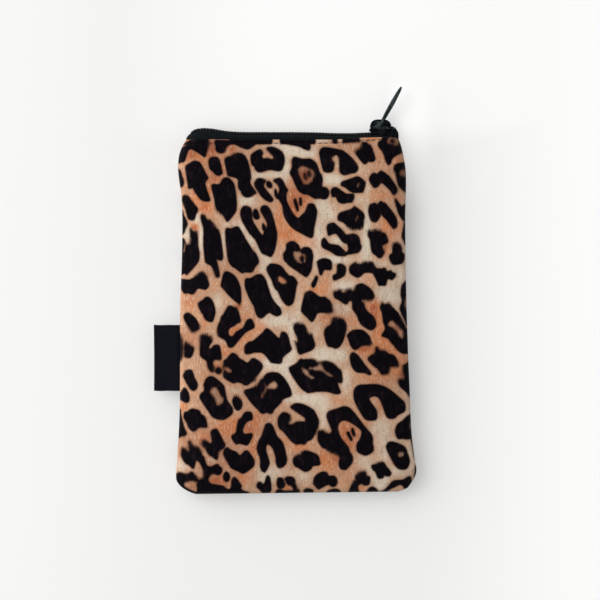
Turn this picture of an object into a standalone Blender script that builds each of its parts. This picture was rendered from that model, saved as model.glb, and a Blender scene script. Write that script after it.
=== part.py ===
"""A soft padded zip pouch for a pair of glasses, lying on its back.

The lengths below are millimetres, and a mesh is scaled to metres when it is made. +X runs along the
zip towards its closed end, +Y runs from the bottom seam to the zip, and +Z points up from the table.
"""

import math

import bmesh
import bpy
from mathutils import Matrix, Vector

MM = 0.001

# Side outlines from the bottom corner to the folded top edge, as (y, x).
LEFT_EDGE = (
    (-87.1, -47.6), (-86.1, -50.6), (-84.2, -53.9), (-82.0, -56.2), (-79.4, -57.3), (-70.0, -56.7),
    (-45.0, -55.5), (0.0, -55.3), (35.0, -54.3), (56.0, -54.5), (70.0, -56.2), (77.0, -56.0),
    (82.0, -54.5), (86.2, -52.0),
)
RIGHT_EDGE = (
    (-85.9, 51.0), (-84.3, 55.2), (-82.2, 57.0), (-79.3, 58.9), (-75.4, 60.0), (-68.6, 58.9),
    (-56.0, 57.5), (-37.0, 56.7), (-18.0, 55.9), (8.0, 55.1), (46.0, 54.5), (68.0, 54.9),
    (76.0, 54.0), (83.7, 52.2), (87.2, 50.6),
)

# The walls.
SEAM_Z = 6.2             # height of the side seams and of the zip's centre line
HALF_GAP = 0.15          # the two halves stand this far from SEAM_Z where they meet
WALL_DEPTH = SEAM_Z - HALF_GAP
CROWN = 0.8              # extra height in the middle of the front
CROWN_REACH = (50.0, 84.0)
CROWN_Y = -5.0
FRONT_ROUND = 15.0       # width of the rounded margin of the front along the seams
BACK_ROUND = 11.0        # the same on the back, which lies flat on the table
MOUTH_ROUND = 7.0        # the same on both, at the mouth
MOUTH_FROM, MOUTH_TO = 56.0, 80.0
MOUTH_RISE = 0.6         # the back's folded edge stands this far off the table
MOUTH_RISE_FROM = 62.0
ROUND_POWER = 2.2
OUTER_THICK = 0.8
LAYER_GAP = 0.3
TAPE_THICK = 0.6
PAD_EDGE = 2.0           # the padding stops short of the seam thread
PAD_TOP_GAP = 0.6        # and further below the fold than the panel's top band
PAD_THICK = 1.6
LINING_THICK = 0.4
LINING_EDGE = 4.9
PAD_DEPTH = OUTER_THICK + LAYER_GAP
LINING_DEPTH = PAD_DEPTH + PAD_THICK + LAYER_GAP
LINING_LIFT = 1.0        # the lining comes out to the zip tape at the mouth
LINING_LIFT_BELOW_TOP = (4.2, 1.0)

# Rows and columns of the wall meshes.
ROUND_STEPS = 4
COLUMNS = 6
ROWS = 7
TOP_BAND = 8.0           # part of the wall below the fold that has its own rows
FOLD_LEFT, FOLD_RIGHT = 86.2, 87.2
FOLD_RISE_FROM, FOLD_RISE_TO = 17.0, 38.0
FOLD_ROUND = 0.25
TOPSTITCH_BELOW_FOLD = 1.7
TOPSTITCH_ENDS = (-47.5, 46.5)
TOPSTITCH_STEPS = 30
GROOVE_DEPTH = 0.4
GROOVE_HALF = 0.9
LINING_TOP = 83.6

# The zip.
TAPE_TOP = 87.8          # flat part of the tapes, under the coils
TAPE_EDGE = 0.5          # distance of a tape's inner edge from the centre line
TAPE_BEND = 1.4
TAPE_DEPTH = 1.25        # below the outer face, where the tape lies inside the wall
TAPE_INSET = 1.5
TAPE_LOW = 79.0
TAPE_ENDS = (-49.3, 48.4)
TAPE_STATIONS = (-48.0, -46.5, -44.0, -42.0, -40.4, -39.0, -20.0, 0.0, 20.0, 38.0, 41.6, 42.9, 44.2,
                 46.6)
TAPE_MIDDLE = 82.5
COIL_BASE = TAPE_TOP + 0.2
COIL_HEIGHT = 1.5
COIL_SHOULDER = 1.1
COIL_VALLEY = 0.3        # how far the coil dips between two turns
COIL_WIDTH = 2.6
COIL_HEAD = 1.5
COIL_PITCH = 1.48
PATH_STEP = 0.02
TOOTH_REACH = 0.3
CORD_BORE = (0.6, 1.5, 0.35, 1.1)
CORD_RADIUS = 0.22
# Rise of the zip above its straight run at its two ends, as (x, y) along the underside of the coil.
ZIP_LEFT_END = ((-51.3, -1.2), (-50.6, 0.2), (-48.4, 1.4), (-45.6, 1.8), (-42.8, 1.5), (-40.6, 0.4),
                (-39.0, 0.0))
ZIP_RIGHT_END = ((48.6, 0.0), (49.3, 0.9), (50.1, 1.3), (50.8, 0.7), (51.2, -0.4))
# Where the front coil parts to pass the slider's post.
SPREAD = 1.5
SPREAD_FROM, SPREAD_TO = 41.6, 44.2

# The slider, closed at the right end.
SLIDER_X = 42.35
PLATE_OUTER = (89.8, 90.9)
PLATE_INNER = (85.9, 86.8)
FLANGE_LOW = 88.2
OVERLAP = 0.3            # how far the post and flanges reach into the plates that they join
SLIDER_SIDE = ((-5.35, 3.3), (-4.7, 4.1), (-1.2, 4.2), (2.0, 5.4), (4.2, 5.4), (5.35, 4.4), (5.35, 1.4))
NOSE_NOTCH = 4.6
INNER_PLATE_WIDTH = 0.55
FLANGE = ((-4.7, 3.2), (-4.7, 4.1), (-1.2, 4.2), (2.0, 5.4), (3.9, 5.4), (3.9, 4.6), (2.0, 4.6),
          (-0.9, 3.2))
POST = ((2.1, 4.1), (0.35, 1.05))
CROWN_FOOT = PLATE_OUTER[1] + 0.25
CROWN_TOP = 95.5
CROWN_WALL = 0.9
CROWN_HALF_WIDTH = 1.4
CROWN_ENDS = (-4.55, 4.75)
# Points over the arch of the cap, as x from the slider's middle and distance below its top.
CROWN_ARCH = ((-4.45, 2.3), (-3.75, 1.0), (-2.25, 0.1), (-0.55, 0.0), (1.55, 0.0), (2.95, 0.3),
              (4.05, 1.3), (4.65, 2.3))
SPRING_THICK = 0.3
SPRING_HALF_WIDTH = 0.9
SPRING_REACH = (-3.3, 2.2)

# The puller, about its hinge.
PULLER_HINGE = (42.15, 92.6)
PULLER_ANGLE = 61.0
EYE_HALF_WIDTH = 1.75
EYE_LENGTH = 5.6
BAR_RADIUS = 0.6
PULLER_EDGE = 0.7        # share of its thickness that the puller keeps at its edges
PULLER_NARROW = 2.7      # half width under which its inner lines stop following the eye
# Distance from the hinge, thickness and half width.
PULLER_STATIONS = (
    (-0.6, 0.9, 3.0), (0.6, 1.3, 3.2), (3.1, 1.7, 3.3), (5.6, 2.0, 3.3), (9.0, 2.2, 3.4),
    (13.0, 2.3, 3.4), (17.0, 2.0, 3.3), (19.6, 1.6, 2.9), (21.0, 1.2, 2.1), (21.6, 0.9, 1.2),
)

# The label tab in the left seam.
TAB_HINGE_X = -55.8
TAB_TIP_X = -68.1
TAB_Y = (-36.8, -4.6)
TAB_PLY = 0.35
TAB_SLIT = 0.2

THREAD_RADIUS = 0.2
THREAD_CLEARANCE = 0.03
FINE_THREAD_RADIUS = 0.14
OUTER_SEAM_INSET = 1.45
LINING_SEAM_INSET = 4.3


def curve_value(points, at):
    """Height at one place of the smooth curve through points, which rise in their first number."""
    if at <= points[0][0]:
        return points[0][1]
    if at >= points[-1][0]:
        return points[-1][1]
    last = len(points) - 1
    k = next(i for i in range(last) if at <= points[i + 1][0])

    def slope(i):
        low, high = points[max(i - 1, 0)], points[min(i + 1, last)]
        return (high[1] - low[1]) / (high[0] - low[0])

    (x0, y0), (x1, y1) = points[k], points[k + 1]
    width = x1 - x0
    t = (at - x0) / width
    return (
        (2 * t**3 - 3 * t**2 + 1) * y0
        + (t**3 - 2 * t**2 + t) * width * slope(k)
        + (3 * t**2 - 2 * t**3) * y1
        + (t**3 - t**2) * width * slope(k + 1)
    )


def smooth_step(low, high, at):
    t = min(max((at - low) / (high - low), 0.0), 1.0)
    return t * t * (3 - 2 * t)


def fold_y(x):
    return FOLD_LEFT + (FOLD_RIGHT - FOLD_LEFT) * smooth_step(FOLD_RISE_FROM, FOLD_RISE_TO, x)


def edge_points(edge):
    """Points of a side edge from its top to its bottom, closest together at its ends."""
    steps = 80
    top, bottom = edge[-1][0], edge[0][0]
    shares = [0.5 - 0.5 * math.cos(math.pi * i / steps) for i in range(steps + 1)]
    return [(curve_value(edge, top + (bottom - top) * s), top + (bottom - top) * s) for s in shares]


def outline_points():
    """The left edge from its top to its bottom, and the right edge from its bottom to its top."""
    return edge_points(LEFT_EDGE), edge_points(RIGHT_EDGE)[::-1]


def inset_outline(inset):
    """The left and right edges moved inwards by inset, each as (x, y) from its top to its bottom."""
    left, right = outline_points()
    whole = left + right
    moved = []
    for i, (x, y) in enumerate(whole):
        before = Vector(whole[max(i - 1, 0)])
        after = Vector(whole[min(i + 1, len(whole) - 1)])
        along = (after - before).normalized()
        moved.append((x - along.y * inset, y + along.x * inset))
    return moved[: len(left)], moved[len(left):][::-1]


def edge_reader(edge):
    """x of an edge at any y, from its points."""
    points = sorted((y, x) for x, y in edge)

    def read(y):
        if y <= points[0][0]:
            return points[0][1]
        for (y0, x0), (y1, x1) in zip(points, points[1:]):
            if y <= y1:
                return x0 if y1 == y0 else x0 + (x1 - x0) * (y - y0) / (y1 - y0)
        return points[-1][1]

    return read


def bottom_y(x):
    low_left, low_right = LEFT_EDGE[0], RIGHT_EDGE[0]
    t = (x - low_left[1]) / (low_right[1] - low_left[1])
    return low_left[0] + (low_right[0] - low_left[0]) * min(max(t, 0.0), 1.0)


def rounding(distance, reach):
    """0 at a seam, 1 past the rounded margin."""
    t = min(max(distance / reach, 0.0), 1.0)
    return (1.0 - (1.0 - t) ** ROUND_POWER) ** (1.0 / ROUND_POWER)


def margin_share(step):
    """Places across the rounded margin, closest together at the seam."""
    return 1 - math.cos(math.pi / 2 * step / ROUND_STEPS)


def wall_depth(x, y, depth, half):
    """Distance of a wall surface from the seam plane, before the rounding at the seams."""
    if half > 0:
        across = max(0.0, 1.0 - (x / CROWN_REACH[0]) ** 2)
        along = max(0.0, 1.0 - ((y - CROWN_Y) / CROWN_REACH[1]) ** 2)
        return WALL_DEPTH + CROWN * across * along - depth
    return WALL_DEPTH - MOUTH_RISE * smooth_step(MOUTH_RISE_FROM, FOLD_LEFT, y) - depth


class WallSurface:
    """One side of one layer of a wall: how far it lies from the seams and from the outer face."""

    def __init__(self, half, inset, depth):
        self.half = half
        self.inset = inset
        self.depth = depth
        self.round = FRONT_ROUND if half > 0 else BACK_ROUND
        left, right = inset_outline(inset)
        self.left = edge_reader(left)
        self.right = edge_reader(right)

    def side_reach(self, y):
        """Width of the rounded margin along the side seams, which is narrow at the mouth."""
        share = smooth_step(MOUTH_FROM, MOUTH_TO, y)
        return self.round + (MOUTH_ROUND - self.round) * share - self.inset

    def z(self, x, y, lift=0.0):
        side = min(x - self.left(y), self.right(y) - x)
        low = y - bottom_y(x) - self.inset
        factor = rounding(side, self.side_reach(y)) * rounding(low, self.round - self.inset)
        rise = wall_depth(x, y, self.depth, self.half) + lift
        return SEAM_Z + self.half * (HALF_GAP + rise * factor)

    def grid(self, tops, sink):
        """Rows of points from the bottom seam to the mouth; tops are distances below the fold."""
        low_reach = self.round - self.inset
        heights = [("low", margin_share(k) * low_reach) for k in range(ROUND_STEPS + 1)]
        heights += [("share", k / ROWS) for k in range(1, ROWS)]
        heights += [("top", below) for below in tops]
        columns = range(2 * ROUND_STEPS + COLUMNS + 1)
        top_start = FOLD_LEFT - tops[0]
        return [
            [self.point(kind, value, column, top_start, sink) for column in columns]
            for kind, value in heights
        ]

    def point(self, kind, value, column, top_start, sink):
        x = 0.0
        for _ in range(3):
            low = bottom_y(x) + self.inset
            start = low + self.round - self.inset
            if kind == "low":
                y = low + value
            elif kind == "share":
                y = start + (top_start - start) * value
            else:
                y = fold_y(x) - value
            x = self.column_x(column, y)
        return (x, y, self.z(x, y, sink(x, y)))

    def column_x(self, column, y):
        left, right, reach = self.left(y), self.right(y), self.side_reach(y)
        if column <= ROUND_STEPS:
            return left + margin_share(column) * reach
        if column >= ROUND_STEPS + COLUMNS:
            return right - margin_share(2 * ROUND_STEPS + COLUMNS - column) * reach
        share = (column - ROUND_STEPS) / COLUMNS
        return left + reach + (right - left - 2 * reach) * share


def new_object(name, mesh, material, hinge=None):
    obj = bpy.data.objects.new(name, mesh)
    bpy.context.scene.collection.objects.link(obj)
    mesh.materials.append(material)
    if hinge:
        mesh.transform(Matrix.Translation(-Vector(hinge) * MM))
        obj.location = Vector(hinge) * MM
    return obj


def mesh_from(name, points, faces):
    """A closed mesh in metres from points in millimetres, with its faces turned outwards."""
    mesh = bpy.data.meshes.new(name)
    mesh.from_pydata([tuple(v * MM for v in p) for p in points], [], faces)
    shell = bmesh.new()
    shell.from_mesh(mesh)
    bmesh.ops.recalc_face_normals(shell, faces=shell.faces)
    shell.to_mesh(mesh)
    shell.free()
    mesh.update()
    mesh.shade_smooth()
    mesh.set_sharp_from_angle(angle=math.radians(40))
    return mesh


def sheet_mesh(name, outside, inside):
    """A thin sheet from two grids of points of the same size, closed round its edge."""
    rows, columns = len(outside), len(outside[0])
    points = [p for row in outside for p in row] + [p for row in inside for p in row]
    back = rows * columns

    def index(row, column):
        return row * columns + column

    faces = []
    for r in range(rows - 1):
        for c in range(columns - 1):
            quad = (index(r, c), index(r, c + 1), index(r + 1, c + 1), index(r + 1, c))
            faces.append(quad)
            faces.append(tuple(i + back for i in reversed(quad)))
    ring = [index(0, c) for c in range(columns - 1)]
    ring += [index(r, columns - 1) for r in range(rows - 1)]
    ring += [index(rows - 1, c) for c in range(columns - 1, 0, -1)]
    ring += [index(r, 0) for r in range(rows - 1, 0, -1)]
    for a, b in zip(ring, ring[1:] + ring[:1]):
        faces.append((a, a + back, b + back, b))
    return mesh_from(name, points, faces)


def loft_faces(start, size, count):
    """Side faces of a bar through rings of points, whose first point has the number start."""
    faces = []
    for k in range(count - 1):
        base = start + k * size
        for i in range(size):
            j = (i + 1) % size
            faces.append((base + i, base + j, base + size + j, base + size + i))
    return faces


def loft_mesh(name, rings, bore=None, bore_corner=None):
    """A bar through rings of points, with flat ends, and with an open bore if there is one.

    bore_corner gives the bore's corner nearest to each corner of the bar.
    """
    size = len(rings[0])
    points = [p for ring in rings for p in ring]
    faces = loft_faces(0, size, len(rings))
    if not bore:
        faces.append(tuple(range(size)))
        faces.append(tuple(range(len(points) - size, len(points))))
        return mesh_from(name, points, faces)
    bore_start, bore_size = len(points), len(bore[0])
    points += [p for ring in bore for p in ring]
    faces += loft_faces(bore_start, bore_size, len(bore))
    ends = ((0, bore_start), (bore_start - size, len(points) - bore_size))
    for bar_base, bore_base in ends:
        for i in range(size):
            j = (i + 1) % size
            face = [bar_base + i, bar_base + j, bore_base + bore_corner[j]]
            if bore_corner[i] != bore_corner[j]:
                face.append(bore_base + bore_corner[i])
            faces.append(tuple(face))
    return mesh_from(name, points, faces)


def prism_mesh(name, outline, low, high, up="Y"):
    """An outline pushed straight from low to high. The outline is (x, z) for up Y, (x, y) for up Z."""
    def place(point, level):
        return (point[0], level, point[1]) if up == "Y" else (point[0], point[1], level)

    return loft_mesh(name, [[place(p, low) for p in outline], [place(p, high) for p in outline]])


def tube_object(name, path, radius, material):
    """A thread along a smooth path: a poly curve with filled ends."""
    curve = bpy.data.curves.new(name, "CURVE")
    curve.dimensions = "3D"
    curve.bevel_depth = radius * MM
    curve.bevel_resolution = 1
    curve.use_fill_caps = True
    spline = curve.splines.new("POLY")
    spline.points.add(len(path) - 1)
    for point, place in zip(spline.points, path):
        point.co = (place[0] * MM, place[1] * MM, place[2] * MM, 1.0)
    curve.materials.append(material)
    obj = bpy.data.objects.new(name, curve)
    bpy.context.scene.collection.objects.link(obj)
    return obj


def union(obj, pieces):
    """Joins the pieces to obj. They stay in the file as hidden guides."""
    for piece in pieces:
        modifier = obj.modifiers.new(piece.name, "BOOLEAN")
        modifier.operation = "UNION"
        modifier.object = piece
        piece.hide_render = True
        piece.display_type = "WIRE"


def material(name, color, roughness, metallic=0.0):
    made = bpy.data.materials.new(name)
    made.use_nodes = True
    shader = made.node_tree.nodes["Principled BSDF"]
    shader.inputs["Base Color"].default_value = (*color, 1.0)
    shader.inputs["Roughness"].default_value = roughness
    shader.inputs["Metallic"].default_value = metallic
    made.diffuse_color = (*color, 1.0)
    return made


def make_wall(side, half, fabrics):
    """Outer panel, padding and lining of one half."""
    outer_fabric, pad_foam, lining_cloth = fabrics

    def flat(x, y):
        return 0.0

    def groove(x, y):
        from_line = abs(fold_y(x) - TOPSTITCH_BELOW_FOLD - y)
        return -GROOVE_DEPTH if from_line < 0.1 else 0.0

    def fold_in(depth):
        def sink(x, y):
            return -depth if fold_y(x) - y < 0.01 else 0.0
        return sink

    def mouth_lift(x, y):
        start, end = (LINING_TOP - below for below in LINING_LIFT_BELOW_TOP)
        return LINING_LIFT * smooth_step(start, end, y)

    line = TOPSTITCH_BELOW_FOLD
    tops = (TOP_BAND, line + GROOVE_HALF, line, line - GROOVE_HALF, 0.0)
    outer = WallSurface(half, 0.0, 0.0)
    inner = WallSurface(half, OUTER_THICK, OUTER_THICK)
    fold_out, fold_back = fold_in(FOLD_ROUND), fold_in(-FOLD_ROUND)
    outer_grid = outer.grid(tops, lambda x, y: groove(x, y) + fold_out(x, y))
    inner_grid = inner.grid(tops, fold_back)
    name = f"outer_{side}"
    new_object(name, sheet_mesh(name, outer_grid, inner_grid), outer_fabric)

    pad_tops = (TOP_BAND + PAD_TOP_GAP,)
    pad_outside = WallSurface(half, PAD_EDGE, PAD_DEPTH).grid(pad_tops, flat)
    pad_inside = WallSurface(half, PAD_EDGE + PAD_THICK, PAD_DEPTH + PAD_THICK).grid(pad_tops, flat)
    name = f"padding_{side}"
    new_object(name, sheet_mesh(name, pad_outside, pad_inside), pad_foam)

    lining_tops = (TOP_BAND, TOP_BAND - 2.0, TOP_BAND - 4.0, FOLD_LEFT - LINING_TOP)
    outside = WallSurface(half, LINING_EDGE, LINING_DEPTH)
    inside = WallSurface(half, LINING_EDGE + LINING_THICK, LINING_DEPTH + LINING_THICK)
    name = f"lining_{side}"
    new_object(
        name,
        sheet_mesh(name, outside.grid(lining_tops, mouth_lift), inside.grid(lining_tops, mouth_lift)),
        lining_cloth,
    )
    return outer


def zip_rise(x):
    """How far the zip line stands above its straight run."""
    if x < ZIP_LEFT_END[-1][0]:
        return curve_value(ZIP_LEFT_END, x)
    if x > ZIP_RIGHT_END[0][0]:
        return curve_value(ZIP_RIGHT_END, x)
    return 0.0


def spread(x, half):
    """How far the front coil stands off the centre line to pass the slider's post."""
    return SPREAD * smooth_step(SPREAD_FROM, SPREAD_TO, x) if half > 0 else 0.0


def make_tape(side, half, cloth):
    """One zip tape: flat under its coil, round the mouth's edge, then down between the layers."""
    stations = (TAPE_ENDS[0], *TAPE_STATIONS, TAPE_ENDS[1])
    outside = WallSurface(half, TAPE_INSET, TAPE_DEPTH)
    rings = []
    for x in stations:
        top = TAPE_TOP + zip_rise(x)
        wide = half * (outside.z(x, TAPE_TOP - TAPE_BEND) - SEAM_Z)
        centre = (wide - TAPE_BEND, top - TAPE_BEND)
        edge = min(TAPE_EDGE + spread(x, half), centre[0] - 0.1)
        low = [(half * (outside.z(x, y) - SEAM_Z), y) for y in (TAPE_MIDDLE, TAPE_LOW)]
        outer_line = [(edge, top)]
        inner_line = [(edge, top - TAPE_THICK)]
        for turn in (0.0, 30.0, 60.0, 90.0):
            across, up = math.sin(math.radians(turn)), math.cos(math.radians(turn))
            outer_line.append((centre[0] + TAPE_BEND * across, centre[1] + TAPE_BEND * up))
            inner = TAPE_BEND - TAPE_THICK
            inner_line.append((centre[0] + inner * across, centre[1] + inner * up))
        outer_line += low
        inner_line += [(z - TAPE_THICK, y) for z, y in low]
        ring = outer_line + inner_line[::-1]
        rings.append([(x, y, SEAM_Z + half * z) for z, y in ring])
    name = f"zip_tape_{side}"
    new_object(name, loft_mesh(name, rings), cloth)


def zip_path():
    """Evenly spaced places along the underside of the coils, with the direction away from the tape."""
    fine = []
    x = ZIP_LEFT_END[0][0]
    while x < ZIP_RIGHT_END[-1][0]:
        fine.append(Vector((x, COIL_BASE + zip_rise(x))))
        x += PATH_STEP
    step = COIL_PITCH / 2
    places = [fine[0]]
    travelled = 0.0
    for a, b in zip(fine, fine[1:]):
        travelled += (b - a).length
        if travelled >= step:
            places.append(b)
            travelled -= step
    path = []
    for i, place in enumerate(places):
        along = (places[min(i + 1, len(places) - 1)] - places[max(i - 1, 0)]).normalized()
        path.append((place, Vector((-along.y, along.x))))
    return path


def along_coil(path, half, across, up):
    """Points that follow the coil, across from the centre line and up from the tape."""
    return [
        (place.x + away.x * up, place.y + away.y * up,
         SEAM_Z + half * (HALF_GAP + spread(place.x, half) + across))
        for place, away in path
    ]


def make_coil(side, half, nylon, cord_cloth, thread):
    """The coil as a bar with a ridge at each turn, its filler cord, and the thread that holds it."""
    path = zip_path()
    rings = []
    for i, (place, away) in enumerate(path):
        ridge = 1 if i % 2 else -1
        tooth = half * TOOTH_REACH * ridge
        top = COIL_HEIGHT if ridge * half < 0 else COIL_HEIGHT - COIL_VALLEY
        section = ((tooth, 0.0), (tooth, top), (COIL_HEAD, top), (COIL_WIDTH, COIL_SHOULDER),
                   (COIL_WIDTH, 0.0))
        ring = []
        for across, up in section:
            ring.append(along_coil([(place, away)], half, across, up)[0])
        rings.append(ring)
    near, far, low, high = CORD_BORE
    straight = (ZIP_LEFT_END[-1][0] + 1.0, SPREAD_FROM - 1.0)
    sparse = [
        stop for i, stop in enumerate(path)
        if i % 8 == 0 or not straight[0] < stop[0].x < straight[1] or i == len(path) - 1
    ]
    corners = ((near, low), (near, high), (far, high), (far, low))
    lines = [along_coil(sparse, half, across, up) for across, up in corners]
    bore = [[line[k] for line in lines] for k in range(len(sparse))]
    name = f"zip_coil_{side}"
    new_object(name, loft_mesh(name, rings, bore, bore_corner=(0, 1, 2, 2, 3)), nylon)

    middle = along_coil(sparse, half, (near + far) / 2, (low + high) / 2)
    tube_object(f"coil_cord_{side}", middle, CORD_RADIUS, cord_cloth)
    shoulder = along_coil(sparse, half, COIL_WIDTH - 0.3, COIL_SHOULDER + 0.35)
    tube_object(f"coil_stitch_{side}", shoulder, FINE_THREAD_RADIUS, thread)


def make_topstitch(side, outer, thread):
    """The thread line that lies in the groove below the fold."""
    start, end = TOPSTITCH_ENDS
    path = []
    for k in range(TOPSTITCH_STEPS + 1):
        x = start + (end - start) * k / TOPSTITCH_STEPS
        y = fold_y(x) - TOPSTITCH_BELOW_FOLD
        path.append((x, y, outer.z(x, y) + outer.half * THREAD_CLEARANCE))
    tube_object(f"topstitch_{side}", path, THREAD_RADIUS, thread)


def make_seam_thread(name, inset, thread, top):
    """One thread down the left seam, along the bottom and up the right seam."""
    left, right = inset_outline(inset)
    path = [p for p in left if p[1] < top][::3] + [p for p in right if p[1] < top][::-1][::3]
    tube_object(name, [(x, y, SEAM_Z) for x, y in path], FINE_THREAD_RADIUS, thread)


def slider_outline(width=1.0):
    """The slider's plate seen along +Y: a tapering tail and a notched nose."""
    upper = [(SLIDER_X + x, z * width) for x, z in SLIDER_SIDE]
    notch = [(SLIDER_X + NOSE_NOTCH, 0.0)]
    lower = [(x, -z) for x, z in upper[::-1]]
    return [(x, SEAM_Z + z) for x, z in upper + notch + lower]


def make_slider(metal, spring_steel):
    """Two plates joined by a post, with side flanges, an arched cap and the spring under it."""
    body = new_object(
        "slider_body", prism_mesh("slider_body", slider_outline(), *PLATE_OUTER), metal
    )
    inner_plate = new_object(
        "inner_plate_guide",
        prism_mesh("inner_plate_guide", slider_outline(width=INNER_PLATE_WIDTH), *PLATE_INNER),
        metal,
    )
    (x0, x1), (z0, z1) = POST
    post_outline = [(SLIDER_X + x, SEAM_Z + z) for x, z in ((x0, z0), (x1, z0), (x1, z1), (x0, z1))]
    post = new_object(
        "post_guide",
        prism_mesh("post_guide", post_outline, PLATE_INNER[1] - OVERLAP, PLATE_OUTER[0] + OVERLAP),
        metal,
    )
    guides = [post, inner_plate]
    for half in (1, -1):
        outline = [(SLIDER_X + x, SEAM_Z + half * z) for x, z in FLANGE]
        name = f"flange_guide_{'front' if half > 0 else 'back'}"
        mesh = prism_mesh(name, outline, FLANGE_LOW, PLATE_OUTER[0] + OVERLAP)
        guides.append(new_object(name, mesh, metal))
    union(body, guides)

    start, end = (SLIDER_X + x for x in CROWN_ENDS)
    arch = [(SLIDER_X + x, CROWN_TOP - below) for x, below in CROWN_ARCH]
    outer_arch = [(start, CROWN_FOOT), *arch, (end, CROWN_FOOT)]
    middle = Vector((SLIDER_X, CROWN_FOOT))
    inner_arch = []
    for i, place in enumerate(outer_arch):
        inward = middle - Vector(place)
        if i in (0, len(outer_arch) - 1):
            inner_arch.append((place[0] + math.copysign(CROWN_WALL, inward.x), place[1]))
        else:
            moved = Vector(place) + inward.normalized() * CROWN_WALL
            inner_arch.append((moved.x, moved.y))
    low, high = SEAM_Z - CROWN_HALF_WIDTH, SEAM_Z + CROWN_HALF_WIDTH
    crown = prism_mesh("slider_crown", outer_arch + inner_arch[::-1], low, high, up="Z")
    new_object("slider_crown", crown, metal)

    roof = CROWN_TOP - CROWN_WALL - 0.3
    left, right = (SLIDER_X + x for x in SPRING_REACH)
    leaf = [(left, CROWN_FOOT + 0.1), (left + 0.3, CROWN_FOOT + 0.1),
            (left + 0.5, roof - SPRING_THICK - 0.9), (left + 1.1, roof - SPRING_THICK),
            (right, roof - SPRING_THICK), (right, roof), (left + 1.0, roof),
            (left + 0.1, roof - 1.0)]
    low, high = SEAM_Z - SPRING_HALF_WIDTH, SEAM_Z + SPRING_HALF_WIDTH
    new_object(
        "slider_lock_spring", prism_mesh("slider_lock_spring", leaf, low, high, up="Z"), spring_steel
    )


def make_puller(metal):
    """A flat pull with an eye that goes round the slider's cap. Its bar lies on the hinge."""
    points, index = [], {}
    for r, (distance, thick, half_width) in enumerate(PULLER_STATIONS):
        inner = EYE_HALF_WIDTH if half_width > PULLER_NARROW else half_width / 2
        lanes = ((-half_width, PULLER_EDGE), (-inner, 1.0), (inner, 1.0), (half_width, PULLER_EDGE))
        for c, (across, share) in enumerate(lanes):
            for side in (1, -1):
                index[r, c, side] = len(points)
                points.append((distance, side * thick / 2 * share, across))
    last_row = len(PULLER_STATIONS) - 1
    inside_eye = [r for r in range(last_row) if BAR_RADIUS <= PULLER_STATIONS[r][0] < EYE_LENGTH]
    cells = {(r, c) for r in range(last_row) for c in range(3) if c != 1 or r not in inside_eye}
    faces = []
    for r, c in cells:
        corners = ((r, c), (r, c + 1), (r + 1, c + 1), (r + 1, c))
        for side in (1, -1):
            faces.append(tuple(index[row, column, side] for row, column in corners))
        sides = (((r, c), (r, c + 1), (r - 1, c)), ((r + 1, c), (r + 1, c + 1), (r + 1, c)),
                 ((r, c), (r + 1, c), (r, c - 1)), ((r, c + 1), (r + 1, c + 1), (r, c + 1)))
        for a, b, neighbour in sides:
            if neighbour not in cells:
                faces.append((index[(*a, 1)], index[(*b, 1)], index[(*b, -1)], index[(*a, -1)]))
    mesh = mesh_from("puller", points, faces)
    mesh.transform(Matrix.Rotation(math.radians(PULLER_ANGLE), 4, "Z"))
    obj = new_object("puller", mesh, metal)
    obj.location = (PULLER_HINGE[0] * MM, PULLER_HINGE[1] * MM, SEAM_Z * MM)


def make_label_tab(cloth):
    """A woven ribbon folded in two, its fold outwards and its ends at the seam."""
    half = TAB_PLY + TAB_SLIT / 2
    fold_x = TAB_TIP_X + half
    outline = [(TAB_HINGE_X, half)]
    for turn in range(0, 181, 30):
        angle = math.radians(turn)
        outline.append((fold_x - half * math.sin(angle), half * math.cos(angle)))
    outline.append((TAB_HINGE_X, -half))
    outline.append((TAB_HINGE_X, -TAB_SLIT / 2))
    outline.append((fold_x, -TAB_SLIT / 2))
    outline.append((fold_x, TAB_SLIT / 2))
    outline.append((TAB_HINGE_X, TAB_SLIT / 2))
    placed = [(x, SEAM_Z + z) for x, z in outline]
    mesh = prism_mesh("label_tab", placed, *TAB_Y)
    new_object("label_tab", mesh, cloth, hinge=(TAB_HINGE_X, sum(TAB_Y) / 2, SEAM_Z))


def main():
    for obj in list(bpy.data.objects):
        bpy.data.objects.remove(obj, do_unlink=True)
    print_cloth = material("printed_cloth", (0.52, 0.27, 0.15), 0.85)
    foam = material("foam", (0.80, 0.79, 0.74), 0.95)
    lining_cloth = material("lining_cloth", (0.02, 0.02, 0.025), 0.8)
    tape_cloth = material("tape_cloth", (0.012, 0.014, 0.016), 0.75)
    nylon = material("black_nylon", (0.010, 0.011, 0.013), 0.35)
    cord_cloth = material("cord_cloth", (0.05, 0.05, 0.05), 0.8)
    black_thread = material("black_thread", (0.012, 0.012, 0.014), 0.6)
    slider_paint = material("slider_paint", (0.012, 0.014, 0.015), 0.3, 0.6)
    spring_steel = material("spring_steel", (0.55, 0.55, 0.57), 0.3, 1.0)
    label_satin = material("label_satin", (0.013, 0.014, 0.020), 0.5)

    for side, half in (("front", 1), ("back", -1)):
        outer = make_wall(side, half, (print_cloth, foam, lining_cloth))
        make_topstitch(side, outer, black_thread)
        make_tape(side, half, tape_cloth)
        make_coil(side, half, nylon, cord_cloth, black_thread)
    make_seam_thread("outer_seam_thread", OUTER_SEAM_INSET, black_thread, top=84.0)
    make_seam_thread("lining_seam_thread", LINING_SEAM_INSET, black_thread, top=80.0)
    make_slider(slider_paint, spring_steel)
    make_puller(slider_paint)
    make_label_tab(label_satin)


main()
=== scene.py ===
# %% [markdown]
# # A zipped glasses pouch in printed cloth
# A soft pouch lies on its back on a pale table and is seen from straight above. Two padded walls
# meet in a seam, and a coil zip closes the mouth. The lengths in this lesson are millimetres, in the
# frame of the CAD: +X along the zip, +Y towards the zip, +Z up.

# %% Frame
import math

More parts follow.
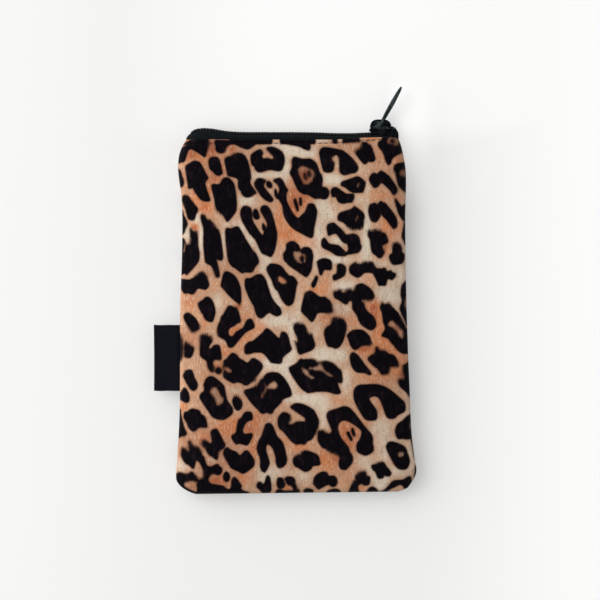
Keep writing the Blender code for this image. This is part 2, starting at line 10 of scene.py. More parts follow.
import bmesh
import bpy
import numpy as np
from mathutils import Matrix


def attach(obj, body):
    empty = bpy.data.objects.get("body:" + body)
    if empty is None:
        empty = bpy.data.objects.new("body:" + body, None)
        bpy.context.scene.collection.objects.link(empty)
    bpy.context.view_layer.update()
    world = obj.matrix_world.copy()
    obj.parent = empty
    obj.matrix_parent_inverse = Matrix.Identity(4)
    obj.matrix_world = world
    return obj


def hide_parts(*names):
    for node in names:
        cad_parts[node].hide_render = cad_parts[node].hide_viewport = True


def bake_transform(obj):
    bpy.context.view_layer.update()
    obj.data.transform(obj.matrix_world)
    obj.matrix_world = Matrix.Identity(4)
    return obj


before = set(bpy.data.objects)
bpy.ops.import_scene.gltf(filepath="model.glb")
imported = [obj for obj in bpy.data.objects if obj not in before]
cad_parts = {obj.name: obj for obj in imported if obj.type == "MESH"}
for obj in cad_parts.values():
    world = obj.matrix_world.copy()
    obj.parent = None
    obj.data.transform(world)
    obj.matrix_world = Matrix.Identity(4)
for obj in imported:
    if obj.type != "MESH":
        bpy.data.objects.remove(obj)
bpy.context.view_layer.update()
MM = 0.001

# %% [markdown]
# ## The shape of a wall
# Each wall is a pillow: flat in the middle and rounded towards its seams. It could be sculpted, but
# a rule is surer: the height over the plan comes from the distance to the side seams and to the
# bottom seam. All the layers of a wall use it, each a little further in, so none meets another.

# %% Outline of the pouch, as (y, x), and the line where the front is cut in two
LEFT_EDGE = (
    (-87.1, -47.6), (-86.1, -50.6), (-84.2, -53.9), (-82.0, -56.2), (-79.4, -57.3), (-70.0, -56.7),
    (-45.0, -55.5), (0.0, -55.3), (35.0, -54.3), (56.0, -54.5), (70.0, -56.2), (77.0, -56.0),
    (82.0, -54.5), (86.2, -52.0),
)
RIGHT_EDGE = (
    (-85.9, 51.0), (-84.3, 55.2), (-82.2, 57.0), (-79.3, 58.9), (-75.4, 60.0), (-68.6, 58.9),
    (-56.0, 57.5), (-37.0, 56.7), (-18.0, 55.9), (8.0, 55.1), (46.0, 54.5), (68.0, 54.9),
    (76.0, 54.0), (83.7, 52.2), (87.2, 50.6),
)
SEAM_Z = 6.2
VIEW_X, VIEW_Y, CAMERA_HEIGHT = 3.17, 7.56, 1600.0
HALF_GAP = 0.15
FOLD_LEFT, FOLD_RIGHT = 86.2, 87.2
CUT = 11.5
print("outline", len(LEFT_EDGE) + len(RIGHT_EDGE), "places")

# %% Curves and edges
def through(points, at):
    """A smooth curve through listed (place, value) points, read at an array of places."""
    places, values = np.array(points, float).T
    at = np.clip(np.asarray(at, float), places[0], places[-1])
    k = np.clip(np.searchsorted(places, at, side="left") - 1, 0, len(places) - 2)
    here, last = np.arange(len(places)), len(places) - 1
    before, after = np.maximum(here - 1, 0), np.minimum(here + 1, last)
    slope = (values[after] - values[before]) / (places[after] - places[before])
    width = places[k + 1] - places[k]
    t = (at - places[k]) / width
    return (
        (2 * t**3 - 3 * t**2 + 1) * values[k] + (t**3 - 2 * t**2 + t) * width * slope[k]
        + (3 * t**2 - 2 * t**3) * values[k + 1] + (t**3 - t**2) * width * slope[k + 1]
    )


def smooth_step(low, high, at):
    t = np.clip((np.asarray(at, float) - low) / (high - low), 0.0, 1.0)
    return t * t * (3 - 2 * t)


def fold_y(x):
    return FOLD_LEFT + (FOLD_RIGHT - FOLD_LEFT) * smooth_step(17.0, 38.0, x)


def bottom_y(x):
    (low_left, x_left), (low_right, x_right) = LEFT_EDGE[0], RIGHT_EDGE[0]
    return low_left + (low_right - low_left) * np.clip((np.asarray(x) - x_left) / (x_right - x_left), 0, 1)


def inset_edges(inset):
    """The two side edges moved inwards, each as arrays of y and x that rise in y."""
    share = 0.5 - 0.5 * np.cos(np.pi * np.arange(81) / 80)
    sides = []
    for edge, inward in ((LEFT_EDGE, 1), (RIGHT_EDGE, -1)):
        y = edge[0][0] + (edge[-1][0] - edge[0][0]) * share
        x = through(edge, y)
        dx, dy = np.gradient(x), np.gradient(y)
        long = np.hypot(dx, dy)
        x, y = x + inward * dy / long * inset, y - inward * dx / long * inset
        rising = np.argsort(y)
        sides.append((y[rising], x[rising]))
    return sides


print("width of the seams", [round(float(x.max() - x.min()), 1) for _, x in inset_edges(0.0)], "mm")


# %% Height of a wall surface
ROUND_FRONT, ROUND_BACK, ROUND_AT_ZIP, PUFF = 15.0, 11.0, 7.0, 2.2
RISE, CROWN, BACK_DROP = 6.05, 0.8, 0.6


class Surface:
    """One side of one layer: half is 1 at the front and -1 at the back."""

    def __init__(self, half, inset, depth):
        self.half, self.inset, self.depth = half, inset, depth
        self.round = ROUND_FRONT if half > 0 else ROUND_BACK
        self.left_edge, self.right_edge = inset_edges(inset)

    def left(self, y):
        return np.interp(y, *self.left_edge)

    def right(self, y):
        return np.interp(y, *self.right_edge)

    def z(self, x, y, lift=0.0):
        side_reach = self.round + (ROUND_AT_ZIP - self.round) * smooth_step(56.0, 80.0, y) - self.inset
        side = np.minimum(x - self.left(y), self.right(y) - x)
        low = y - bottom_y(x) - self.inset
        rounded = 1.0
        for distance, reach in ((side, side_reach), (low, self.round - self.inset)):
            t = np.clip(distance / reach, 0, 1)
            rounded = rounded * (1 - (1 - t) ** PUFF) ** (1 / PUFF)
        if self.half > 0:
            crown = CROWN * np.clip(1 - (x / 50.0) ** 2, 0, 1) * np.clip(1 - ((y + 5.0) / 84.0) ** 2, 0, 1)
            rise = RISE + crown - self.depth
        else:
            rise = RISE - BACK_DROP * smooth_step(62.0, FOLD_LEFT, y) - self.depth
        return SEAM_Z + self.half * (HALF_GAP + (rise + lift) * rounded)

    def plan(self, across, along, top):
        """Rows of x and y from the bottom seam to the fold; the across shares change side at the cut."""
        x = np.zeros((len(along), len(across)))
        u, v = np.array(across)[None, :], np.array(along)[:, None]
        for _ in range(4):
            low, high = bottom_y(x) + self.inset, fold_y(x) - top
            y = low + (high - low) * v
            left, right = self.left(y), self.right(y)
            x = np.where(u < 0, CUT + (CUT - left) * u, CUT + (right - CUT) * u)
        return x, y


front = Surface(1, 0.0, 0.0)
print("front at its middle", round(float(front.z(0.0, 0.0)), 2), "mm")

# %% [markdown]
# ## Print
# The cloth carries a leopard print: black spots on a warm ground, as on the back of the animal. A
# noise texture could scatter spots, but not these ones, so they were laid as closed outlines,
# in millimetres on the front, and the same cloth makes the back.

# %% Spots of the left side, from the zip down
LEFT_SPOTS = (
    ((-58, -9), (-55.2, -9.5), (-54.2, -13), (-53.9, -17), (-54.6, -21), (-58, -23)),
    ((-57, 74.6), (-54.8, 74.8), (-53.1, 75.5), (-51.5, 80.2), (-50, 81.2), (-48, 80.3), (-45.8, 79),
     (-43.2, 77.4), (-42.4, 79.5), (-41, 85), (-41, 88), (-48, 88), (-47.6, 86.2), (-50, 84.6),
     (-55.5, 81), (-58, 80)),
    ((-37.8, 85.3), (-38, 82), (-37.4, 80), (-35.5, 79.2), (-33.7, 79.8), (-32.8, 82), (-31.2, 83.3),
     (-29.3, 83.7), (-25, 81.9), (-22.3, 81.2), (-20.5, 82), (-18, 83.7), (-15.5, 84.5), (-15, 88),
     (-37.5, 88)),
    ((-41.2, 76), (-41.3, 74), (-40.7, 71.5), (-39.5, 70.5), (-38.2, 69), (-36.5, 68.3), (-35, 69),
     (-34.8, 70.5), (-36, 75.3), (-37, 76.9), (-38.5, 77.3), (-40.2, 77)),
    ((-52.3, 73), (-52.5, 71), (-51.5, 64.5), (-51.1, 62.1), (-49, 62.1), (-48, 60.2), (-44.8, 56.3),
     (-41.2, 55.8), (-40.8, 56.9), (-41.5, 59), (-43.1, 64.3), (-41.7, 67), (-42.4, 68.6), (-45.3, 74),
     (-46.5, 75), (-48.5, 75.3), (-50.5, 74.2)),
    ((-33, 67.2), (-34.5, 66.5), (-36.2, 64), (-39.3, 64), (-39.9, 62.8), (-39.2, 59.5), (-38.5, 57),
     (-38.1, 53.5), (-37.2, 51.3), (-34.2, 48.7), (-33.2, 46.9), (-32.2, 45.8), (-31.2, 46.7),
     (-28.3, 50.5), (-27.8, 53), (-27.8, 56), (-28.9, 63.5), (-31.2, 66.7)),
    ((-28.6, 79), (-30.2, 78), (-31.8, 77.5), (-33.1, 76.8), (-33.5, 75.3), (-32.4, 70), (-31.9, 68.3),
     (-28.6, 67.4), (-27, 66.2), (-27, 63.8), (-26.6, 61.8), (-25.7, 60.8), (-25.1, 59.3), (-24, 58.1),
     (-22.6, 57.7), (-20.8, 58.1), (-19, 59.3), (-18.3, 60), (-20.5, 63.2), (-21.2, 65), (-20.8, 68),
     (-22.3, 75), (-24.8, 78.7)),
    ((-57, 71.5), (-55.7, 71), (-54.9, 69.7), (-53.6, 64.8), (-54.8, 62.7), (-57, 66)),
    ((-53, 58.7), (-54, 57.8), (-54.3, 56), (-52.6, 51.8), (-51.3, 47.3), (-49, 46.6), (-48.1, 47.5),
     (-47.6, 49.2), (-46.7, 51), (-46.7, 52.1), (-48, 53.8), (-51, 57.7)),
    ((-57, 52), (-54.3, 51.2), (-53.6, 49), (-51.9, 45.3), (-52.3, 43.2), (-54, 39.6), (-57, 39.8)),
    ((-45.3, 47.8), (-44, 43), (-43.8, 40), (-43.8, 34), (-43.1, 27), (-42.3, 25.5), (-39.8, 23.8),
     (-38, 19.4), (-37.2, 18.6), (-36.3, 18.9), (-36.1, 20.5), (-37.6, 27), (-38, 27.7), (-35.5, 26.9),
     (-34.7, 27.5), (-34.5, 30), (-36, 40), (-38.3, 43.5), (-40.6, 46.4), (-42.2, 47), (-43.3, 48.6),
     (-44.6, 49.3)),
    ((-57, 37.6), (-54.2, 37.7), (-53.2, 36.8), (-52.6, 35.1), (-51.8, 34.3), (-50.7, 34.9), (-50.1, 37),
     (-50.5, 40), (-50.2, 42.3), (-49.2, 41.5), (-47, 40.2), (-46.6, 34), (-46, 31), (-46, 28.5),
     (-46.8, 25.8), (-51.3, 20.5), (-52.3, 19.9), (-53.2, 20.5), (-57, 20.8)),
    ((-57, 17.8), (-51, 17.4), (-48, 19), (-46, 20.7), (-44.4, 21.3), (-43.2, 20.4), (-42.2, 18.5),
     (-41.3, 15), (-42, 13.5), (-43.2, 12.7), (-46.2, 13.3), (-47.3, 12.6), (-48.3, 11), (-49.6, 10.4),
     (-51.3, 10.9), (-53.4, 11), (-55.2, 14), (-57, 15)),
    ((-33, 42), (-32, 42.6), (-30.5, 42.3), (-29, 43), (-27.5, 43.3), (-26.2, 42.3), (-23.5, 37.4),
     (-19.8, 31.6), (-18.2, 29.9), (-17, 26), (-18.7, 23.8), (-20.3, 21.2), (-23.7, 21.2), (-25.2, 20.8),
     (-28.2, 23), (-30.2, 24.3), (-32, 28), (-33.1, 39)),
    ((-33.8, 20.9), (-35.2, 15.7), (-35.3, 14.4), (-34.2, 13), (-30.5, 8.9), (-26.8, 5.8), (-25.9, 5.4),
     (-25.6, 8), (-25.9, 13.5), (-28, 18.4), (-31.2, 21)),
    ((-43, 8.7), (-44.2, 7.5), (-45.7, 6.6), (-46.5, 5.3), (-45.2, 2), (-44.1, 0.5), (-43.4, -1.2),
     (-42.3, -2.4), (-40, -3.1), (-39.1, -2), (-38.2, 1.8), (-39.2, 6.3), (-41.2, 8.8)),
    ((-31, 4.7), (-28, 3.7), (-27.1, 2.3), (-25.9, -2), (-26.2, -3.3), (-27.5, -3.8), (-29, -5),
     (-30.9, -6), (-31.8, -7.4), (-31.6, -9.3), (-30.6, -10.2), (-29.3, -9.9), (-28, -8.1),
     (-24.8, -6.2), (-23.8, -4.7), (-23.1, -2.9), (-21.9, -1.9), (-20.7, -1.8), (-19.8, -3),
     (-19.1, -5.2), (-19.8, -6.3), (-23.6, -8.4), (-28.2, -13.8), (-29.4, -15.2), (-30.6, -15.6),
     (-31.8, -15), (-33.2, -12.1), (-36.3, -10.3), (-37, -8.7), (-37.1, -6), (-35.7, -2.5),
     (-35.2, -0.6), (-34.1, 0.6), (-32.2, 4)),
    ((-52, 1.2), (-53.2, 0.3), (-53.3, -1.5), (-50.5, -6.8), (-49.3, -7.8), (-48, -7.8), (-46.8, -7.1),
     (-46.1, -6), (-46.2, -4.3), (-48, -1.3), (-50.6, 0.9)),
    ((-44.8, -9.8), (-43.5, -9.4), (-40.5, -10.2), (-39.8, -11.5), (-39.9, -13), (-40.9, -14.4),
     (-41.3, -15.7), (-40.5, -16.3), (-38.8, -14.7), (-37.5, -14.4), (-36.2, -15), (-35.3, -19),
     (-35.2, -21.2), (-36.2, -21.7), (-38, -21.5), (-39.2, -22.5), (-38.7, -26), (-38.9, -27.2),
     (-39.8, -27.6), (-41, -26.5), (-41.9, -24.8), (-42.4, -22.3), (-44.9, -20.2), (-45.6, -18.5),
     (-45.4, -13), (-45.6, -11)),
    ((-38.3, -26.2), (-37, -25.3), (-35.6, -25.5), (-34.9, -26.8), (-35.5, -28.2), (-37, -28.4),
     (-38.2, -27.5)),
    ((-30.3, -18.6), (-28.8, -18.6), (-27.5, -19.5), (-26.4, -20.9), (-24.8, -21.8), (-22.3, -23.1),
     (-19.8, -20.9), (-16.5, -22.6), (-15.1, -25.3), (-18.2, -30), (-19.1, -31.6), (-20.6, -32.5),
     (-22.2, -33.8), (-23.8, -33.9), (-25.5, -32.9), (-27.5, -32.5), (-29.5, -32.9), (-33.2, -30.8),
     (-34.2, -29), (-34, -25), (-34.2, -23.5), (-33.8, -22), (-32.6, -21.2)),
    ((-52.7, -13), (-53.3, -15), (-53.2, -19.8), (-50.2, -20.4), (-48.6, -17), (-49.1, -15.3),
     (-51.6, -13.7)),
    ((-52.5, -27), (-49.7, -26.8), (-48.3, -30.4), (-46.8, -33.7), (-48, -36.4), (-50.3, -35.8),
     (-53.4, -30.4), (-53.7, -29.2)),
    ((-53.4, -35.4), (-52.3, -36), (-51.3, -37.8), (-50.8, -40), (-51.2, -42), (-52.5, -42.4),
     (-55.2, -40.7), (-55.5, -38.5), (-54.5, -37)),
    ((-42, -30.3), (-43.7, -33.6), (-43.4, -35.5), (-43.8, -37.1), (-45, -38), (-45.6, -39.4),
     (-45.1, -41.2), (-41, -47.3), (-39.7, -49.2), (-38, -50.2), (-35.5, -50.8), (-33.2, -50.4),
     (-30, -48), (-29.7, -46), (-30.4, -44.2), (-32.5, -41), (-33.5, -36.3), (-34.4, -33.9), (-39, -30)),
    ((-28.5, -39.4), (-27, -39.8), (-25.8, -41), (-25.1, -42.6), (-25.3, -44.6), (-26.2, -45.9),
     (-27.3, -46.2), (-28.6, -45.2), (-29.8, -41.7)),
    ((-49, -45.6), (-50.5, -46), (-51.6, -46.9), (-53, -47.3), (-53.5, -48.8), (-53.2, -50.3),
     (-52.2, -51.9), (-50.8, -55), (-48.5, -56.5), (-46, -54.6), (-42.9, -54.6), (-42.1, -53.9),
     (-42.9, -50.2), (-43.8, -48.9), (-45, -48.2), (-45.6, -47), (-46.6, -46.2)),
    ((-55.2, -46), (-55, -48), (-53.6, -54), (-52.2, -57.9), (-55, -59), (-58, -59.2), (-58, -46)),
    ((-39.7, -56), (-38.3, -55.4), (-37, -56), (-34.3, -61.1), (-33.4, -62.8), (-33.9, -64.6),
     (-36.2, -66.2), (-36.7, -67.6), (-37.3, -70.3), (-39.8, -68.7), (-41.2, -68), (-42.9, -65),
     (-44.8, -62.6), (-44.5, -61.3), (-43.4, -60.9), (-42, -61.7), (-40.6, -62.2), (-39.8, -61.3),
     (-40.3, -57.3)),
    ((-54.6, -65.4), (-53.5, -64.8), (-51.2, -66.2), (-51.1, -63.5), (-50.8, -61), (-49, -63.7),
     (-47.5, -64), (-46, -65), (-45, -66.5), (-44.6, -68.1), (-43.6, -69.2), (-42.5, -72.7),
     (-41.4, -73.6), (-40, -73.7), (-37.3, -72.5), (-36.2, -73.5), (-35, -74.5), (-34.9, -76),
     (-35.7, -77.4), (-37.1, -77.8), (-38.7, -77.2), (-40.3, -77.7), (-41.3, -79.1), (-41.3, -80.8),
     (-40.3, -82), (-38.5, -82.5), (-34.6, -83.1), (-33.3, -84.1), (-32, -84.8), (-30.8, -84.4),
     (-30.3, -82.8), (-30.2, -80.8), (-29.5, -79.3), (-28.6, -79), (-27.4, -80.1), (-25.5, -82.9),
     (-25.6, -84.5), (-24.2, -85.6), (-22, -86.5), (-24, -89), (-46, -89), (-47, -86), (-46.8, -84.3),
     (-47.2, -82.4), (-46.8, -80.8), (-45.5, -79.8), (-44, -79.2), (-43.9, -76), (-45.5, -72.1),
     (-47.3, -70.6), (-47.9, -72), (-48.8, -74.7), (-51.2, -72.8), (-52.8, -71.9), (-54.7, -68.3)),
    ((-33, -76.3), (-34, -77.5), (-34.2, -79.3), (-33.3, -80.8), (-32, -80.9), (-31.1, -79.5),
     (-31.2, -78), (-32, -76.7)),
    ((-56.3, -76.8), (-55, -76.7), (-52, -77.4), (-49.5, -76.4), (-47.2, -78.8), (-46, -80.5),
     (-47.3, -81), (-50, -80.6), (-53, -81.4), (-53.5, -82.8), (-52.4, -84.1), (-48.5, -86),
     (-46, -86.4), (-46, -89), (-53, -88), (-58, -84), (-59, -79.5)),
)
print(len(LEFT_SPOTS), "spots on the left")

# %% Spots of the middle
MIDDLE_SPOTS = (
    ((-8, 88), (-6, 85.4), (-5.4, 84.2), (-3, 83.6), (3, 82.4), (5, 81.3), (7.8, 80.8), (8.2, 84.4),
     (8.6, 88)),
    ((-20.8, 77), (-20.2, 78.8), (-16.8, 80.9), (-15.5, 80.3), (-15, 79), (-15.5, 77.6), (-14.5, 76.5),
     (-13, 76.7), (-10, 76.2), (-10, 77.6), (-10.9, 78.9), (-12.2, 80), (-13.1, 81.1), (-12.4, 82.1),
     (-9.2, 81.9), (-5.8, 79.8), (-4.4, 76.3), (-5.2, 72.2), (-6.1, 70.8), (-7.6, 70.5), (-11.5, 71.1),
     (-15, 70.2), (-17, 70), (-18.4, 71.1), (-19.3, 72.8), (-20.4, 73.8)),
    ((-17, 66.9), (-13.6, 65.9), (-14.2, 64.6), (-14.5, 63), (-13.5, 61.4), (-10.7, 57.9), (-10, 56.5),
     (-10.4, 55.7), (-11.8, 55.5), (-15, 57.5), (-17.7, 61.3), (-18.7, 63), (-18.9, 64.8)),
    ((-12.6, 65.5), (-11.3, 65), (-10.5, 63.7), (-10.6, 62.5), (-11.8, 62.3), (-12.8, 63), (-13.2, 64.5)),
    ((-7, 67), (-5.5, 66), (-3.7, 62.6), (-2.8, 61.2), (-3.4, 59.7), (-3.6, 57.5), (-3, 55),
     (-0.8, 50.5), (1.8, 47.6), (3, 47.9), (4.3, 49.3), (5.6, 50.4), (7, 53.8), (8, 54.5), (9.5, 54.4),
     (10.5, 53.3), (11.4, 50), (10.1, 43.5), (9.8, 41), (9.4, 38.6), (8.2, 38), (4.7, 39.7), (-0.8, 43),
     (-4.4, 48.4), (-5.4, 53.6), (-7.3, 56.8), (-8.3, 57.3), (-7, 60.5), (-7, 62.5), (-7.8, 64),
     (-9.7, 65.9)),
    ((-0.2, 76.8), (1, 77.2), (4.5, 76.3), (8.2, 76.3), (11, 74.2), (12.6, 70.1), (13.7, 68.3),
     (14.1, 66.2), (13.9, 62.9), (15.5, 62.5), (16.8, 61.5), (17.3, 60), (17, 58.3), (16, 57),
     (14.4, 56.8), (12.5, 57.2), (10.4, 57.1), (7, 59), (5, 59.3), (2.2, 61.3), (-0.4, 67.1),
     (-1.3, 68.5), (-1.6, 70), (-0.9, 71.5), (-0.6, 73.2), (-0.7, 75.2)),
    ((-24, 53.3), (-25.7, 51), (-25.2, 46.8), (-21.6, 40.4), (-18.5, 36.8), (-16.1, 31.7), (-15, 30.2),
     (-13.6, 29.7), (-11.4, 28.7), (-10.4, 29.3), (-9, 32.8), (-8.1, 38.8), (-8.6, 42.5), (-10.8, 50.2),
     (-12.7, 53.1), (-14, 53.6), (-15.3, 53.2), (-16, 52), (-15.8, 50.6), (-13.7, 47), (-12.8, 44.8),
     (-13.1, 42.2), (-14, 41.6), (-14.9, 39), (-15.8, 39.7), (-17, 41.3), (-19.5, 45.3), (-20.2, 47.5),
     (-20.9, 52.2)),
    ((-19.3, 51.4), (-18.3, 51.8), (-17.5, 50.9), (-16.6, 48), (-17.3, 47.1), (-18.3, 47), (-19.3, 47.8),
     (-19.8, 49.5)),
    ((-15.2, 44.3), (-14.6, 44.8), (-13.6, 42.7), (-14.1, 41.2), (-15, 42)),
    ((-3.2, 35), (-0.3, 36.2), (2.2, 34.5), (3, 33), (3.9, 32.1), (4.6, 33), (5.9, 33.3), (7.5, 33),
     (8.7, 32), (9.3, 30.3), (9.4, 28), (8.7, 22.7), (7, 19.4), (5.8, 19), (4.4, 19.9), (-1.8, 24.2),
     (-3.3, 25.8), (-4.5, 27), (-4.9, 30), (-4, 31.3), (-3.4, 32.8)),
    ((-10, 25.2), (-6.3, 24.2), (-3.5, 20.8), (-2, 19.4), (0, 18.8), (1.8, 16.1), (1.3, 14), (0.3, 8),
     (-0.4, 6), (-2.6, 4.8), (-5.4, 7.4), (-7.5, 11.7), (-8.8, 13), (-9.8, 15), (-10.4, 17), (-13, 22.3),
     (-11.7, 24.8)),
    ((-23.3, 17.8), (-23.6, 14.3), (-22.2, 10.1), (-20, 5.7), (-19.2, 4.5), (-17.8, 0), (-15.5, -1.2),
     (-12.9, 0.9), (-11.5, 1.4), (-9.3, 0.1), (-8, -0.2), (-6.7, 0.2), (-5.9, 1.2), (-6.6, 3.6),
     (-8.4, 5.4), (-10.9, 9.2), (-13.4, 16.8), (-15.2, 19.6), (-16.7, 20), (-18.2, 19.7), (-21.1, 18.1)),
    ((12, 26.7), (15, 27.8), (18.3, 26.5), (18.5, 22.9), (17.4, 22.2), (15.8, 22.4), (14.6, 21.9),
     (14.2, 20.7), (13.5, 19.7), (12.8, 20.2), (12.4, 22), (11.6, 25.5)),
    ((11.3, 19.3), (11.8, 18.2), (10.7, 14.8), (10, 13.8), (9.2, 13.9), (8.8, 15.3), (10.2, 17.8),
     (10.7, 19)),
    ((8.5, 11.9), (12.3, 9.3), (13.7, 8.9), (15.3, 9), (18, 6.7), (19.2, 3), (19, 1.8), (17.5, 1.2),
     (14, 1.5), (12.2, 1.3), (11.2, 0.6), (10.7, -0.7), (9, -3), (6.8, -1), (4.1, 1.8), (4, 4),
     (5.1, 8.8), (5.7, 10.8)),
    ((0.7, -4.2), (4, -4.2), (5.6, -5.3), (7.1, -8.7), (7.8, -9.2), (8.5, -9), (9.3, -10.5),
     (10.4, -14.4), (8.9, -16.8), (5, -18.3), (3.4, -18.9), (2.3, -18), (1.2, -14), (0.8, -12.8),
     (1.7, -13.2), (2.3, -12.3), (1.9, -10.7), (0.3, -7)),
    ((-13.2, -6.5), (-12, -6.8), (-8.8, -9.7), (-7.6, -10.9), (-6.8, -11), (-5.8, -8.3), (-4.8, -8.1),
     (-3.5, -8.9), (-2.6, -10.5), (-1.6, -14.5), (-1, -16), (-1.6, -17.3), (-4.9, -20), (-5.9, -22.8),
     (-7.1, -23.4), (-10.7, -22.9), (-12, -21.5), (-15, -18.3), (-19, -18), (-20.7, -18.5),
     (-23.4, -18.5), (-23.8, -15.6), (-22.9, -13.9), (-21.6, -12.9), (-20, -12.6), (-18.4, -11.4),
     (-14.8, -8.2), (-14, -7)),
    ((-8, -28), (-5.2, -30), (-2.3, -34.2), (-0.9, -38.3), (-1.9, -39.6), (-3.9, -40.2), (-5.5, -41.2),
     (-6.3, -42.7), (-9.4, -45.8), (-10.2, -47.4), (-11.5, -47.9), (-13, -47.3), (-14.5, -47.8),
     (-15.8, -47.5), (-17.2, -46), (-20.4, -42.7), (-23.3, -38.8), (-24, -37.2), (-23.4, -36.3),
     (-21.6, -35.9), (-18.4, -34.4), (-15.8, -31.4), (-14.8, -31), (-14.4, -29.8), (-12, -28)),
    ((3.3, -21.3), (5, -21.5), (9.5, -21.4), (12.3, -23), (15.5, -22.3), (19.2, -23.4), (22.1, -26.1),
     (23.2, -27.1), (23.8, -31), (23.5, -32.7), (22.7, -32.9), (21.7, -32.3), (21.6, -33.7),
     (22.9, -37.3), (22, -38.2), (20.2, -38.2), (16.3, -37.1), (11.5, -37.1), (7.5, -37.7), (6, -37.2),
     (3, -34.6), (-1.2, -28.3), (-2, -26.3), (-1.8, -25.2), (1.3, -23.5)),
    ((1.5, -42.9), (5, -43.5), (9, -45.6), (10.3, -47), (12.2, -51.2), (11.8, -55), (9.8, -59),
     (8.5, -60.6), (6.8, -61.2), (6, -62.3), (4.8, -62.9), (3.3, -62.5), (1.5, -62.9), (-1.5, -60.8),
     (-4.5, -57), (-6, -55.8), (-7.3, -54), (-7.4, -50), (-5, -47.3), (-2.3, -48), (-1.5, -49.5),
     (-1.6, -51), (-2.4, -52.3), (-2.2, -53.1), (-1, -53.2), (2, -51.8), (5.5, -51.8), (5.7, -50.5),
     (4.8, -49.3), (0, -46), (-1.2, -45), (-1, -44)),
    ((-12.5, -52.6), (-11.2, -52.8), (-10, -54.3), (-8.5, -58), (-7.7, -59.4), (-5.2, -62.2),
     (-3.5, -68.6), (-3.3, -70.6), (-3.9, -72.6), (-5.3, -73.9), (-6.8, -74.3), (-7.9, -73.5),
     (-8.5, -71.5), (-8.7, -69), (-10.2, -64.6), (-12.3, -62.8), (-13.2, -63.4), (-13.5, -65),
     (-13.2, -67), (-11.9, -71), (-12, -73), (-13.7, -76.2), (-14.8, -76.2), (-15.8, -75), (-16.2, -73),
     (-16.1, -71), (-16.5, -69), (-17.8, -65), (-16.8, -61), (-15.6, -59), (-14.2, -55), (-13.6, -53.3)),
    ((-23.5, -47.2), (-20.7, -47.4), (-20.1, -50.6), (-23, -52), (-24.7, -55.5), (-24.5, -57.2),
     (-23.3, -57.9), (-20.6, -57.5), (-20, -58.6), (-20.8, -60.6), (-21.8, -62.3), (-22.9, -63.2),
     (-26.3, -62.4), (-28, -62.7), (-30, -60), (-29.9, -58.4), (-28.6, -57.7), (-27.8, -56.4),
     (-27.6, -54.4), (-26.7, -50.9), (-25.5, -50)),
    ((-33.5, -65), (-32, -64.5), (-30.8, -65.5), (-28, -66.6), (-26, -68.3), (-24, -66.3), (-22.5, -66),
     (-21.3, -67.3), (-19.2, -70.7), (-19.6, -73.6), (-23, -76.3), (-24.8, -77), (-26.3, -76.3),
     (-29.8, -74.7), (-31.2, -73.2), (-34.2, -67.5)),
    ((-13, -78.4), (-12.2, -78.3), (-11.5, -79.5), (-10.9, -84), (-11.2, -85.6), (-12.2, -86.4),
     (-15, -86.4), (-16.3, -85.1), (-17.7, -83.8), (-17.7, -82.2), (-17, -81.3), (-16, -81.4),
     (-15, -82.2), (-14, -81.5)),
    ((-7.8, -79.7), (-6.7, -79.2), (-5.3, -79.6), (-4.2, -82.5), (-4.8, -83.8), (-6, -84.5),
     (-7.3, -84.2), (-8, -82.5)),
    ((-4.2, -79.8), (-3.3, -78.8), (-2, -78.6), (-0.3, -79), (0.7, -80.2), (1, -82), (1.7, -84),
     (2.8, -86), (2, -89), (-8.5, -89), (-8.3, -85.6), (-7, -84.9), (-4, -85.5), (-0.6, -85.2),
     (-0.5, -83.8), (-1.5, -82.9), (-2.8, -82.4)),
    ((5.3, -85), (6.3, -84.5), (8, -84.6), (9.4, -85.2), (9.3, -86.2), (8, -89), (6, -89), (5.2, -86)),
    ((6.2, -65.9), (11.5, -68), (12.8, -71), (13, -72.3), (12.2, -73), (9.5, -73.4), (8.6, -74.7),
     (7.2, -75.8), (5.3, -76), (2.4, -74.3), (0.8, -73.5), (0, -72), (-0.1, -70.3), (0.7, -68.8),
     (2, -68), (3.5, -67.7), (4, -66.8)),
)
print(len(MIDDLE_SPOTS), "spots in the middle")

